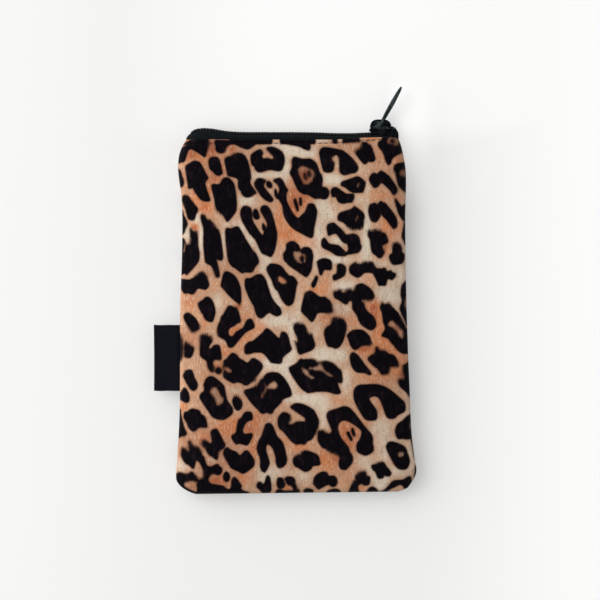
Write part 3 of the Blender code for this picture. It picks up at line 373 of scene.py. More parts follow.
# %% Spots of the right side
RIGHT_SPOTS = (
    ((13, 80.5), (14, 81.7), (16, 82), (22, 80.9), (24.5, 80), (28.5, 76.7), (31.2, 73), (31.2, 71),
     (30, 69.7), (28.2, 69.4), (25, 68.6), (23.3, 69.3), (22.5, 71), (22.3, 76), (21.6, 77.9),
     (20.2, 78.2), (19, 77.3), (18.8, 75.8), (19.6, 74.8), (19.8, 73), (19.4, 71), (18.4, 70),
     (17, 69.8), (15, 70.3), (14.2, 72), (12.7, 78.7)),
    ((33.5, 84.3), (35, 84.6), (37.8, 82.5), (39.3, 78.5), (39.8, 76.5), (39.2, 75.3), (37.8, 75),
     (36.5, 75.2), (35.6, 74.3), (34.6, 74), (33.4, 75), (30.8, 78.3), (30.2, 80), (31, 81),
     (32.3, 81.2), (33, 82.5)),
    ((43.3, 88), (43.2, 87.1), (41.3, 84), (41.8, 82), (43.2, 80.2), (44.2, 78.3), (44.7, 76.3),
     (45.6, 74.3), (46.5, 73.5), (47.5, 74.5), (48, 76.3), (49.5, 77.7), (53.4, 79.8), (56, 81),
     (55, 88)),
    ((50.5, 74), (49.3, 73), (49, 71.5), (49.7, 69.5), (50.8, 65), (51.5, 63), (54.3, 60.5), (57, 60),
     (57, 75), (53.5, 74.5)),
    ((38.3, 69), (39.5, 69.5), (40.8, 69), (42.7, 70.5), (45.7, 68.7), (47.3, 67), (50, 63), (50.6, 61),
     (49, 58.8), (46.8, 61.5), (43.8, 64.3), (42.6, 64.6), (41.5, 63.3), (40.3, 62.5), (39, 62.7),
     (37.1, 65.8), (37.3, 67.7)),
    ((31.5, 67.7), (34.7, 65.3), (35, 64), (34, 60.5), (32.5, 60), (28.5, 60.2), (25.3, 62.5),
     (23.5, 63.3), (23.2, 64.2), (24, 65.3), (27.8, 66.6)),
    ((18.4, 59.8), (18.6, 61.5), (19.6, 62.3), (21.2, 62.3), (24.3, 60.2), (25.8, 59.3), (29, 59.2),
     (29.6, 58), (29, 56), (28.2, 55.2), (26.5, 55.1), (24.5, 54.7), (23, 54.9), (21.7, 55.8),
     (20.9, 57.5), (20, 58), (19, 57.9)),
    ((29.5, 53), (30.5, 52.8), (34.3, 49.5), (34.1, 46), (33.2, 42.5), (28, 42.1), (25.2, 44.7),
     (23.6, 45.8), (22, 46.4), (21.6, 47.7), (22, 49.2), (23.2, 50.2), (28, 51.8)),
    ((19.3, 45.2), (20.5, 44.5), (24, 41.3), (25.2, 39.8), (26.5, 39.3), (29.3, 39.8), (31.8, 38.3),
     (32.6, 34.8), (33.1, 33.3), (31.5, 30.8), (26.5, 29.8), (25, 29.1), (21.3, 29.3), (18.4, 31.1),
     (14.2, 33.3), (13.7, 36.3), (14.5, 37.5), (15.5, 37.5), (17, 35.3), (18.3, 34.7), (22, 34),
     (25.2, 31.1), (26, 31), (26.8, 32), (26.3, 35), (25, 35.3), (23.5, 36.5), (21.5, 39.3), (20.3, 40),
     (18.8, 39.7), (17.6, 39), (16.8, 39.7), (16.4, 43.2), (17.1, 44.5)),
    ((37, 41.7), (38, 41), (40.3, 41.8), (41.3, 41), (42.3, 41.5), (43.3, 40.4), (44.8, 39.8),
     (46.1, 36.5), (45.3, 35.1), (44, 34.6), (43.3, 33.5), (44.4, 31), (42.8, 28.3), (41.3, 28.3),
     (40.3, 29.3), (38.2, 31.3), (37.4, 37), (36.5, 38.5), (36.3, 40)),
    ((39.8, 54.8), (40.8, 54), (42.4, 55.7), (43.5, 55.2), (44.8, 54.7), (46, 53.3), (49.7, 48.3),
     (50.6, 44.7), (50, 43), (49, 42.4), (48, 43.2), (45.2, 47), (44, 48), (42.6, 49.8), (42.3, 48.5),
     (40.3, 45.7), (38, 46.4), (36.7, 50), (37.2, 53.8)),
    ((49.4, 56.8), (50.3, 56.4), (51.8, 54.2), (53, 53.2), (54.3, 54), (57, 54), (57, 45.5),
     (54.3, 45.8), (51.8, 48.8), (50, 54)),
    ((57, 46), (54.3, 45.5), (53.9, 43.5), (52.9, 38.8), (54, 36), (54.6, 34.6), (57, 34.5)),
    ((48.7, 35), (50.5, 35.4), (52, 34.6), (52.8, 32.8), (52.8, 31), (53.8, 30), (54, 28), (53.3, 26),
     (52, 25.2), (48.5, 25), (46.8, 28), (47.2, 29.8), (48.3, 30.5), (48.4, 34)),
    ((30.3, 25.9), (31, 25.2), (33.3, 25.2), (34.5, 26.2), (35.5, 26), (38.4, 25.9), (40.3, 23.2),
     (43, 22.8), (44, 23.2), (44.9, 22.8), (45.5, 21.7), (46.7, 21.6), (47.3, 22), (48.3, 21),
     (49.5, 20.5), (49.8, 19.3), (48.2, 17.5), (47, 17.8), (45.7, 17.6), (44.9, 14.8), (43, 14.7),
     (41.7, 14.7), (41.1, 16), (39.5, 19.3), (38.5, 20.7), (35.8, 21), (34.3, 20.6), (32, 18.8),
     (30.3, 18.9), (27.5, 21), (27.7, 24.2)),
    ((21.5, 24.8), (23.3, 25.1), (24.8, 24.3), (25.5, 23), (25.3, 21), (24.5, 19.3), (21.3, 17.6),
     (19.8, 17.3), (19.2, 18.4), (19.7, 19.8), (21, 20.3), (21.3, 22)),
    ((19.8, 11.5), (21.3, 11.9), (22.6, 12.4), (23.6, 11.5), (25, 11.3), (26.3, 12.5), (27.6, 12.8),
     (28.8, 12), (29.7, 12.4), (30.1, 14), (31.3, 15), (33, 15.5), (34.8, 14.9), (38, 12.5), (39.4, 9.3),
     (38.5, 8), (36.8, 7.4), (35, 7.8), (33.3, 7.3), (34.4, 5.8), (35.7, 2.4), (39.3, -1), (40.3, -4.4),
     (39.5, -6.2), (38, -7), (36.3, -6.6), (32.8, -4), (30.9, 0.2), (28.9, 3.2), (28.8, 5.5),
     (28.4, 7.1), (27.2, 7.2), (26.3, 6), (25.2, 5.6), (22, 7.7), (20.3, 8.5), (19.6, 10)),
    ((19.6, -1.5), (22.5, -1.4), (24.3, -2), (25.8, -5.3), (24.6, -11), (22.6, -15), (20.5, -16),
     (18.8, -15.4), (17.2, -15.1), (16.3, -14), (15, -9.2), (15.3, -7.2), (16.4, -5.5), (17.8, -4.7)),
    ((43.3, 6), (45, 5.5), (46.5, 5.8), (49, 3.2), (51.3, 0.8), (54.3, -4.8), (55, -6.2), (57, -8),
     (58, -18.4), (56, -18.4), (53, -18.4), (50, -16), (48.8, -14.3), (47.5, -13), (46.2, -11.3),
     (43.2, -10), (43.8, -8.3), (44.7, -6.8), (44.5, -5), (43.8, -3), (43.2, 1.5), (42.4, 3.2),
     (42.4, 4.8)),
    ((57.5, 17), (54.9, 16.8), (52.7, 14), (52.4, 10), (52.9, 8), (52.7, 6), (52, 2.8), (54.4, -2.5),
     (55.3, -4.5), (58, -5)),
    ((26.3, -9.5), (29, -7.3), (33.5, -7.2), (36.7, -9.8), (37.5, -11.7), (38, -13.5), (37.2, -14.5),
     (33.5, -14.8), (30.2, -16.7), (28, -14.8), (26.8, -11.3)),
    ((28, -18.8), (29, -18.1), (30.5, -18.7), (31.8, -20), (34.8, -24), (37.5, -27.5), (37.7, -28.8),
     (36.5, -28.8), (34.7, -28), (31, -27.6), (28.6, -25), (27.6, -21)),
    ((40.3, -16), (41.3, -15.9), (42.5, -17), (44.5, -17.3), (46.5, -18.7), (48.5, -19.3), (50, -20.8),
     (51.2, -24.3), (48.2, -25), (47, -25), (46.3, -28), (44.8, -28.7), (42.8, -28.6), (40.8, -25.8),
     (39.2, -24.7), (36.3, -21.3), (38, -19.3), (39.2, -18.8)),
    ((53.3, -25), (54.3, -24), (58, -23.5), (58, -39), (56.3, -39), (55, -37.3), (52, -34.5),
     (51, -31.8), (53.8, -31), (53.9, -29)),
    ((30.5, -35), (32, -34), (35, -33.8), (41, -33.7), (46.5, -35.9), (53, -41.3), (54.2, -43),
     (54.5, -45), (54.1, -46.8), (51, -48.5), (49.6, -49.8), (48, -50.3), (46.3, -50), (45.1, -48.6),
     (43.6, -44.3), (42, -40.7), (40.5, -39.5), (38.5, -39.4), (37, -40.3), (37.4, -42), (40, -45.5),
     (40.7, -47.8), (40.6, -50), (39.5, -51), (35.5, -50.8), (33, -47.7), (29.8, -41.5), (29.5, -37)),
    ((11.9, -57), (12.8, -56.2), (14.5, -56.2), (16.5, -57.4), (18, -57.5), (18.7, -56.5), (18.3, -54.8),
     (16.8, -51), (16.3, -49), (16.8, -47.3), (18, -46.5), (21.5, -45.4), (25, -44.4), (28.5, -46.2),
     (34.3, -53.7), (38.2, -58.5), (38.6, -62.5), (39, -64.5), (38.5, -66.5), (35.3, -68.2), (32, -67),
     (31, -65.8), (30.8, -64), (31.3, -62), (32.5, -60.3), (33.2, -56.5), (30.5, -53.8), (26.5, -51.5),
     (24.5, -51.2), (22.8, -51.8), (21.8, -53.5), (21.6, -55.5), (23, -59.5), (26, -63.3), (27, -65),
     (27.5, -66.7), (28.5, -68), (28.9, -70), (28.5, -71.8), (26, -74.8), (24.7, -75.2), (23.2, -74.8),
     (22.3, -73.3), (22.2, -71.3), (22.5, -69.5), (21.8, -68.3), (20.3, -67.3), (18.7, -66.9),
     (15.7, -65), (14, -64.2), (12, -61)),
    ((42.5, -71.6), (44, -71.8), (45.8, -74.3), (46.9, -75.5), (47.6, -77), (46.9, -78.2), (45.5, -78.3),
     (44.3, -78), (43.6, -79.2), (41.3, -79.2), (40, -76.3), (38.8, -75.3), (38.2, -74), (38.5, -72.8),
     (39.7, -72.6)),
    ((46, -62.3), (47.5, -61.6), (49.5, -61.9), (53.5, -63.6), (54.8, -65), (55.5, -67), (56.6, -71),
     (55.2, -74.6), (51.5, -74.8), (48.7, -71.7), (45.5, -65)),
    ((55.8, -49), (59, -48.5), (60, -60), (60.5, -69.3), (59.1, -69.3), (58.3, -65), (57.5, -61),
     (57.2, -60.2), (55, -60.3), (53, -60), (51, -60), (49.7, -57), (50.5, -53.5), (53.3, -51.3)),
    ((59.8, -73), (62, -73), (62, -79.3), (59.2, -79.3), (59.3, -76)),
    ((56, -78.7), (57.2, -79), (57.4, -81), (57, -83), (55.8, -84.2), (54.5, -84.5), (53.2, -82.8),
     (51.8, -82.5), (50, -83.3), (46.8, -84.8), (45.4, -85.9), (44, -88), (42, -86.5), (44.7, -84.9),
     (48, -81.3), (49.8, -80.5), (53.3, -80.2)),
    ((32.2, -76.4), (34.7, -76.2), (36, -78.3), (37.3, -78.9), (37, -82), (36, -82.7), (34.3, -82.7),
     (33, -82), (31.3, -83.5), (32, -88), (27, -88), (27.5, -84.8), (29.2, -81.3), (30.2, -80),
     (30.4, -78.3)),
    ((36.8, -84.5), (38, -83.7), (39.5, -84), (40.8, -85.2), (42, -88), (35, -88)),
    ((13, -76.7), (14.8, -76.3), (16.2, -76.7), (17, -78), (18.3, -78.4), (19.8, -78.3), (20.8, -79.3),
     (21.3, -81), (20.8, -82.7), (19.7, -83.5), (18.5, -83.3), (17.3, -82.5), (16, -82.8), (13.3, -84.2),
     (12, -84.6), (10, -82.5), (9.7, -81), (10.2, -79.2), (11.2, -77.8)),
    ((20, -84.6), (21.8, -85), (22.8, -86), (22, -88), (17, -88), (16.5, -85.8)),
)
SPOTS = LEFT_SPOTS + MIDDLE_SPOTS + RIGHT_SPOTS
print(len(RIGHT_SPOTS), "spots on the right,", len(SPOTS), "in all")

# %% Lighter islands in the spots, and how dark each is, from 0 (ground) to 1 (nearly black)
ISLANDS = (
    ((-53.9, 31), (-53.5, 33), (-53.4, 34.8), (-52.9, 34.5), (-52.9, 32.5), (-53.4, 30.8)),
    ((-34, -25.6), (-32.3, -25.3), (-30.6, -26.2), (-30.2, -27.3), (-31.2, -28), (-34, -26.6)),
    ((-39.5, -35.2), (-38, -34.8), (-37, -35.8), (-35, -39.5), (-34, -41), (-34.4, -42.7),
     (-35.7, -43.4), (-36.8, -44), (-37.9, -42.8), (-38.4, -41), (-39.3, -39.3), (-40.5, -38),
     (-40.6, -36.5)),
    ((3, 72.5), (4.5, 73.1), (6.5, 72.5), (9.8, 70.5), (10.3, 68.5), (9.7, 66.5), (8.5, 64.8),
     (6.8, 63.8), (5.2, 64), (4, 65.5), (2.4, 69.5), (2.3, 71.3)),
    ((0.3, 31.3), (3.5, 31), (4.5, 30.3), (6, 29.3), (5.9, 26), (4.8, 25.8), (3.5, 25.5), (2, 25.9),
     (0, 28.8)),
    ((-7.5, 19), (-5.6, 18.8), (-3.3, 16.5), (-4, 15.4), (-5.3, 15.3), (-6.8, 16), (-7.6, 17.3)),
    ((-12.8, -34.5), (-10.7, -32.5), (-9.3, -31.9), (-8.2, -32.8), (-7.7, -34.3), (-8.4, -35.6),
     (-10, -36), (-11.5, -35.8), (-13, -35.8)),
    ((-14.4, -32.5), (-13, -35.8), (-14.3, -38.3), (-15, -40.3), (-16, -40), (-15.6, -38),
     (-14.5, -36.5), (-14.1, -34.5)),
    ((4, -25.5), (5.2, -28.5), (8.5, -31), (10.2, -30.3), (8, -28.7), (6.7, -26.5)),
    ((12.1, -22.4), (13.1, -22.6), (15, -26.2), (17, -27.8), (19.2, -29.3), (18.8, -30), (16.5, -29.3),
     (13.2, -27), (11, -27), (9, -26.3), (7.5, -26.3), (8, -25.3), (9.5, -25.2), (12.2, -24)),
    ((46.2, 86.7), (48, 87.6), (50.5, 87), (52, 85), (50.8, 83), (48.7, 82.8), (46.6, 83.4), (45.8, 85)),
    ((52, 70.5), (53, 71.2), (56, 71.5), (56, 67.5), (53, 67.8), (51.9, 69)),
    ((47.5, -2.5), (48.7, -2.7), (50, -4), (52.8, -6.8), (53.8, -8.5), (53.6, -10.3), (52.8, -11.3),
     (51.8, -10.6), (49.3, -7), (46.5, -5.2), (46, -4.2)),
    ((58, 9.5), (55, 9.6), (54.1, 6), (54.4, 4), (55.2, 2.5), (58, 2)),
    ((51, -67.3), (52.3, -66.4), (53.8, -66.8), (54, -68), (52.8, -68.8), (51.3, -69)),
    ((57.3, -51.7), (56.6, -53), (56.4, -55), (57.1, -55), (57.6, -53)),
    ((31, 63), (31.6, 64.6), (32.3, 64.6), (32, 63), (31.4, 62.6)),
    ((30.4, 46.3), (30.9, 48.4), (31.6, 48.6), (31.2, 46.5)),
)
DIMNESS = (0.5, 0.3, 0.35, 0.45, 0.35, 0.05, 0.1, 0.75, 0.3, 0.35, 0.5, 0.6, 0.15, 0.5, 0.4, 0.5, 0.8, 0.8)
print("islands", len(ISLANDS))

# %% Dark streaks in the islands
STREAKS = (
    ((5, 69), (5.7, 69.3), (6.4, 67.5), (6.2, 66.2), (5.4, 66.6)),
    ((7, 70), (7.7, 70.5), (8.4, 69), (8, 67.7), (7.2, 68.2)),
    ((3.5, 28.6), (4.4, 29), (5.1, 27.8), (4.9, 26.4), (3.9, 26.2), (3.3, 27.2)),
    ((0.3, 56.6), (1, 56.8), (1.9, 54.5), (2.4, 51.8), (1.8, 51), (0.4, 55)),
    ((2.9, 57), (3.6, 57.4), (4, 55.5), (3.8, 53.6), (3.1, 54.2)),
    ((26.1, -56.9), (26.9, -56.8), (27.8, -58.6), (28.6, -60.4), (28, -61), (26.2, -58)),
    ((28.3, -55.3), (29, -55), (29.8, -57), (29.9, -58.8), (29.2, -58.6), (28.5, -57)),
    ((8, -27.3), (9.3, -26.9), (10.5, -27.5), (10.4, -28.8), (9.2, -29.2), (8.2, -28.5)),
    ((47.6, 85.6), (48.8, 85.9), (49, 84.6), (48.2, 84), (47.4, 84.6)),
    ((46.2, 84), (47, 83.6), (49, 83.2), (48.4, 82.4), (46.6, 82.7)),
    ((-9.2, 61.2), (-8.5, 61.4), (-8, 59.5), (-8.2, 57.8), (-9, 58.4)),
)
print("streaks", len(STREAKS))

# %% Light gaps in the dark strip above the stitching
STITCH_LINE = ((-52.0, 83.4), (-8.0, 83.65), (15.0, 83.75), (23.0, 84.1), (38.0, 85.2), (47.0, 85.6))
STRIP_GAPS = (
    ((-56, 81), (-54, 83), (-52, 84.6), (-50, 85.6), (-47.6, 86.3), (-47.6, 90), (-54, 90), (-57, 86)),
    ((-40.8, 82.6), (-38.3, 82.6), (-38.2, 85.3), (-35, 85.5), (-31, 85.7), (-30, 89), (-41, 89),
     (-41.4, 85)),
    ((-10.9, 83), (-10.5, 84.6), (-9.6, 89), (-7.2, 89), (-6.4, 84.6), (-6.2, 83), (-8, 82.5)),
    ((9.9, 82.6), (10.6, 84.5), (11.2, 89), (18, 89), (19.2, 85), (20.2, 83.4), (19.5, 82), (14, 82)),
    ((21.5, 82.6), (21.6, 89), (23.8, 89), (23.9, 82.6)),
    ((31.8, 83.2), (32.3, 85), (32.4, 90), (43, 90), (43, 85), (42.6, 83.2), (37, 84.6)),
)


def stitch_y(x):
    return through(STITCH_LINE, x)


print("gaps", len(STRIP_GAPS))


# %% Soft patches of ground colour, as (x, y, reach in x, reach in y, strength)
CREAM = (
    (-47, 48, 2, 4, 0.9), (-52.2, 40, 2, 4, 1), (-45, 38, 1.5, 11, 0.9), (-24, 66, 5, 2.5, 0.5),
    (-23, 56, 5, 3, 1), (-17.5, 68.3, 5, 2, 1), (-8, 68.8, 5, 2, 1), (-3.8, 71, 2.5, 9, 0.9),
    (-8, 82.8, 6, 1.8, 0.6), (-1, 81, 5, 3, 0.9), (4, 80, 5, 3, 0.9), (8.5, 80, 3, 3, 0.7),
    (-25, 42, 3, 6, 0.8), (-20.5, 37, 3, 5, 0.9), (-16, 31, 3, 5, 0.9), (-13, 27, 3, 4, 0.8),
    (-31, 45, 3, 2, 0.5), (-11, 60.5, 3, 3, 0.3), (18, 66.5, 5, 3, 1), (22, 66, 4, 2, 0.6),
    (13.5, 54, 3, 5, 1), (12, 42, 2.5, 10, 0.9), (17, 50, 3.5, 5, 0.8), (14, 38, 2.5, 3, 0.4),
    (36, 62, 1.5, 4, 0.6), (32, 56.5, 4, 3, 0.5), (35.7, 45, 1.8, 10, 0.95), (35.5, 33, 3, 9, 0.95),
    (13.5, 85, 6, 1.5, 0.6), (22.7, 85.5, 2, 1.5, 0.5), (-37, 86, 4, 1.2, 0.5), (21.2, 74, 1.4, 3, 0.4),
    (34, 71.5, 4, 3, 0.3), (-34, 34, 1.6, 10, 0.7), (-37, 6, 3, 7, 0.6), (-15, 23, 2.5, 4, 0.6),
    (-9.5, 11, 3, 6, 0.9), (-12.5, 15, 2.5, 5, 0.8), (-7, 4.5, 2, 4, 0.8), (-8, -2.5, 9, 3.5, 0.9),
    (-1, -8, 2.5, 9, 0.7), (-5, -25, 5, 7, 1), (-1, -19, 3, 4, 0.8), (-12, -23.5, 4, 3, 0.7),
    (22, 36, 4, 3, 0.8), (20, 27.2, 8, 2.5, 1), (11, 26, 2, 6, 0.5), (28, 43, 3, 2, 0.5),
    (25, 14.5, 6, 3, 0.95), (46, 10.5, 7, 5, 1), (51, 19.5, 4, 4, 0.6), (42, 25.5, 5, 2.5, 0.5),
    (23.5, 3, 5, 3, 0.8), (2.5, 4, 2, 9, 0.5), (10.5, -8, 4, 5, 0.4), (14, -19, 6, 4, 1),
    (22, -19, 5, 4, 0.9), (6, 16, 3, 3, 0.3), (25.5, -32, 3, 7, 0.7), (-3, -36, 4, 6, 0.9),
    (5, -40.5, 10, 2.3, 1), (13, -43, 6, 4, 0.9), (14.5, -51, 3, 6, 0.7), (42, -55, 6, 6, 0.8),
    (44.5, -65, 4, 7, 0.9), (42, -81, 4, 5, 1), (51, -76, 5, 3, 0.7), (34, -70, 4, 5, 0.7),
    (38, -75, 3, 4, 0.6), (4.5, -78.5, 6, 4, 0.5), (-13.5, -78, 5, 7, 0.9), (-7, -76, 4, 3, 0.5),
    (-54.5, -73, 3.5, 4, 0.9), (-30, -45, 4, 5, 0.5), (-39, -70.5, 3, 2, 0.5), (-28.5, -36.5, 5, 2, 0.5),
    (57, -68, 1.5, 9, 0.5), (49, -61, 6, 1.5, 0.4), (-48, -75, 2, 4, 0.3), (44, -78, 3, 4, 0.6),
)
ORANGE = (
    (-49.5, 78, 4.5, 4, 1), (-43.5, 76, 3, 5, 0.5), (-40, 81, 3, 6, 1), (-30.5, 81, 3, 3, 0.9),
    (-34.7, 74, 2, 6, 0.6), (-38.5, 67, 4, 4.5, 0.9), (-41, 61, 2, 5, 0.7), (-52.5, 65, 2.5, 4, 0.4),
    (-47.5, 57, 4.5, 5, 0.9), (-43, 52.5, 4, 3.5, 1), (-48, 43, 2.5, 2, 0.9), (-39.5, 47.5, 2, 4, 0.3),
    (-7, 49, 2.5, 7, 0.7), (-2, 40, 6, 4, 1), (0, 54, 4, 9, 1), (-1.5, 64, 2, 4, 0.5),
    (-12.5, 78.5, 3, 2.5, 0.4), (-50, 86, 4, 2, 0.9), (5, 57, 4, 5, 1), (28, 81, 5, 3, 0.3),
    (42, 76, 3, 7, 0.45), (51, 75.5, 4, 4, 0.6), (43, 58.5, 8, 4, 0.6), (52, 57.5, 3, 4, 0.6),
    (45.5, 44, 4, 5, 0.8), (52, 41, 3, 7, 0.8), (38, 86.5, 5, 1.3, 0.8), (48, 85, 3, 2, 0.5),
    (3, 36, 6, 3, 0.8), (9, 34.5, 4, 3, 0.5), (6, 68, 4, 5, 0.9), (-50.5, 6.5, 5, 5, 0.6),
    (-44, -3, 4, 5, 0.6), (-38.5, 14, 4, 4, 0.4), (-27, 4.5, 2.5, 2.5, 0.7), (-22.5, -1, 5, 4, 0.45),
    (-17, -6, 4, 3, 0.8), (-24, -11, 6, 5, 0.7), (-29, -7, 4, 4, 0.9), (-6, 40, 3, 8, 0.5),
    (-28, -17, 8, 2, 0.4), (-50, -12, 5, 5, 0.4), (-16.5, -19.5, 5, 1.5, 0.6), (46.5, 41, 2.5, 7, 1),
    (51.5, 39, 3, 6, 0.7), (45.5, 32.5, 3, 4, 0.9), (42, 26.5, 5, 1.5, 0.3), (36, 17.5, 4, 4, 0.6),
    (15.5, 15, 3.5, 8, 0.5), (11, 12.3, 4, 2.5, 0.8), (4.5, 15, 3.5, 4, 0.3), (29, -3.5, 5, 5, 0.5),
    (16.5, -1.5, 4, 3, 0.6), (39, 2.5, 4, 6, 1), (42, -8, 4, 8, 1), (50, -7, 4, 5, 1),
    (34.5, -16.5, 5, 2.5, 1), (46, -18, 10, 8, 1), (51, -24, 6, 6, 0.9), (5, 28.5, 4, 3, 0.6),
    (-5.5, 17, 3, 3, 0.7), (40, -30.5, 10, 3, 0.6), (43, -43.5, 3, 4, 0.5), (-33.5, -17.5, 3.5, 3, 0.8),
    (-36, -25, 5, 3, 0.8), (-43.5, -30, 4, 4, 0.3), (-53.5, -44.5, 2, 2, 1), (-34, -55.5, 6, 5, 1),
    (-29, -53, 4, 5, 0.9), (-17.5, -51, 4, 5, 0.8), (-21.5, -55, 3, 5, 1), (-20, -65, 2.5, 7, 0.9),
    (-36.5, -81, 6, 4, 1), (-25, -79, 5, 5, 0.7), (-44, -60, 4, 4, 0.7), (-50, -83.5, 3, 2, 0.5),
    (3, -64, 6, 3, 0.8), (-4, -60, 3, 3, 0.6), (16.5, -71, 6, 6, 1), (25.5, -80, 5, 6, 0.4),
    (21, -41.5, 6, 3, 0.5), (26.5, -58, 6, 9, 1), (-4, -84, 5, 2, 0.8), (33, -84, 3, 2, 0.7),
    (53, -58, 3, 3, 0.3), (36, -52.5, 3, 3, 0.4),
)
RUST = (
    (-50, 78.5, 3, 3, 0.6), (-40, 81.5, 2.4, 5, 0.9), (-30.5, 81.5, 2.5, 2, 0.7), (-39, 67.5, 3, 3, 0.5),
    (-43, 52.5, 3, 3, 0.5), (-48, 43.2, 2, 1.5, 0.6), (0, 54, 3, 7, 0.7), (5, 57, 3, 3, 0.5),
    (6, 68.5, 4, 4, 0.7), (52, 57.5, 2, 3, 0.5), (46.5, 42.5, 1.6, 4, 0.3), (-27, 4.5, 1.5, 2, 0.6),
    (39, 3, 3, 5, 0.8), (40.5, -5, 2.5, 5, 0.4), (50, -7, 4, 5, 0.7), (34.5, -16.5, 4, 1.6, 0.8),
    (-21.5, -54.5, 2, 3.5, 0.7), (-37, -80.5, 5, 3, 0.6), (26.5, -58, 5, 8, 0.6), (20.5, -69, 2, 3, 0.6),
    (-36.5, -27, 2, 1.5, 0.5), (45, 33.5, 1.5, 2, 0.7), (52.5, -29.5, 2, 3, 0.8), (48, 84.5, 3, 2, 0.5),
    (53, 69.5, 2, 2, 0.5), (15, -1, 2.5, 2, 0.3), (5, 28.5, 3, 2, 0.3), (-4, -84, 3, 1.5, 0.3),
)
print("cream", len(CREAM), "orange", len(ORANGE), "rust", len(RUST))

# %% Places that are browner all over, and paler ones, written the same way: print, and near the side seams painted shade and painted light
# Those near the left seam darken the left edge of the front, which the lamp lights: painted shade there,
# browner print elsewhere.
BROWN_AND_PAINTED_SHADE = (
    (-38, 86, 24, 8, 0.8), (-34, 70, 18, 12, 0.85), (-52, 72, 8, 14, 0.5), (-24, 26, 10, 10, 0.95),
    (-38, 24, 9, 9, 0.5), (-50, 10, 8, 7, 0.6), (-52, -12, 9, 9, 0.8), (-27, -4, 7, 8, 0.6),
    (-32, -30, 15, 14, 0.7), (-36, -66, 22, 18, 0.95), (-52, -60, 9, 14, 0.7), (-14, -54, 13, 14, 0.85),
    (-50, -84, 9, 7, 1), (2, 60, 11, 9, 0.8), (9, 46, 6, 7, 0.5), (27, 84, 14, 7, 0.8),
    (45, 76, 10, 10, 0.5), (21, -2, 7, 8, 1), (30, -14, 9, 7, 0.6), (33, 9, 7, 7, 0.5),
    (22, -64, 12, 13, 0.9), (34, -56, 9, 13, 0.6), (42, -36, 11, 14, 0.7), (44, -20, 8, 9, 0.5),
    (-14, 46, 7, 7, 0.5), (-14, 10, 7, 7, 0.5), (46, -66, 7, 9, 0.4),
)
# Those at x 57 to 60 lighten the right edge of the front, which turns away from the lamp: painted light
# there, paler print elsewhere.
PALE_AND_PAINTED_LIGHT = (
    (57, 56, 6, 9, 0.5), (57, 34, 8, 10, 1), (57, 20, 9, 10, 1.2), (57, 6, 8, 12, 1.0),
    (57, -14, 5, 8, 0.6), (59, -50, 8, 10, 0.9), (60, -70, 8, 9, 0.9), (57, -2, 5, 5, 0.6),
    (33, 22, 9, 7, 0.3), (-14, -24, 7, 6, 0.6), (-3, 82, 10, 5, 0.5), (9, 34, 7, 6, 0.5),
    (21, 46, 7, 6, 0.4), (-48, 32, 5, 5, 0.4), (8, -34, 7, 8, 0.4),
)
print("brown_and_painted_shade", len(BROWN_AND_PAINTED_SHADE), "pale_and_painted_light", len(PALE_AND_PAINTED_LIGHT))

# %% Places where the edge of a spot is drawn as loose hairs, written the same way
LOOSE = (
    (-55, -15, 2, 8, 1), (-39, 44.5, 3, 3, 0.9), (-48, 42, 2.5, 3, 0.9), (-50.5, 36, 2, 4, 0.6),
    (-46, 19.5, 4, 3, 0.5), (-38, 21, 1.5, 4, 0.6), (-27, 4, 2, 2, 0.6), (-50, -11, 5, 4.5, 1),
    (-44.5, -8, 2, 4, 0.9), (-41, -9, 3.5, 3, 0.9), (-38.5, -25.5, 4, 3, 0.8), (-34, -25, 3, 3, 0.6),
    (-45, -61, 4, 5, 0.9), (-53, -64, 4, 4, 1), (-48, -64, 4, 3, 0.8), (-37, -66, 3, 3, 0.6),
    (-44, -79, 5, 3, 0.6), (-52, -79, 5, 3, 0.7), (-27, -39, 2.5, 2, 0.7), (-17.5, -33, 3, 3.5, 0.8),
    (-42, 84, 3, 4, 0.7), (-52, 56, 3, 3, 0.4), (-30, 79, 4, 3, 0.5), (-40, 50, 5, 3, 0.8),
    (30, 42.5, 5, 2, 0.8), (40.5, 41.5, 5, 1.5, 0.8), (49.5, 35, 3, 2, 0.6), (43.5, 32.5, 2, 3, 0.5),
    (36, 25.5, 8, 1.5, 0.7), (25, 12.5, 6, 2, 0.9), (20, -1.5, 5, 2.5, 1), (18.5, 4, 2, 4, 0.6),
    (44.5, 7, 3, 2, 0.9), (36, 7, 3, 2, 0.9), (2, -3.5, 4, 2, 1), (8, -9, 2.5, 3, 0.7),
    (1.2, -13, 1.5, 3, 0.5), (51, -6, 4, 5, 0.6), (40, -15.5, 6, 2.5, 1), (54, -10, 1.5, 3, 0.8),
    (48, -27, 6, 4, 0.7), (52.5, -29, 3, 4, 1), (14, -57, 4, 2, 0.7), (-1, -51, 4, 3, 0.6),
    (3, -67, 4, 3, 0.6), (20, -67, 5, 3, 0.9), (33.5, -76.5, 3, 2.5, 0.8), (42, -72, 3, 1.5, 0.5),
    (51, -67, 3, 3, 0.6), (30, -80, 3, 3, 0.6), (2, -85, 5, 3, 0.5), (12, -24, 7, 3, 0.6),
    (32, 82, 4, 3, 0.9), (50, 84, 4, 4, 0.7), (53, 69, 3, 3, 0.7), (20.5, 76, 2, 2, 0.7),
    (52, 58, 3, 4, 0.6), (-12, 79, 3, 2, 0.5), (15.5, -4, 2, 3, 0.5),
)
print("loose", len(LOOSE))

# %% [markdown]
# ## Reading the print
# A shader can't hold hundreds of outlines, and a picture of them would blur close up. So each point
# of the mesh keeps how far it lies inside the nearest outline. The shader draws the edge from that
# distance, sharp at any size, and can break it up into hairs.

# %% Distances inside the outlines
def closed_curve(points, steps=5):
    """A smooth closed line through the points of an outline."""
    p = np.array(points, float)
    before, after, next_after = np.roll(p, 1, 0), np.roll(p, -1, 0), np.roll(p, -2, 0)
    t = (np.arange(steps) / steps)[None, :, None]
    a, b, c, d = (q[:, None, :] for q in (before, p, after, next_after))
    line = 0.5 * (2 * b + (c - a) * t + (2 * a - 5 * b + 4 * c - d) * t**2 + (3 * b - a - 3 * c + d) * t**3)
    return line.reshape(-1, 2)


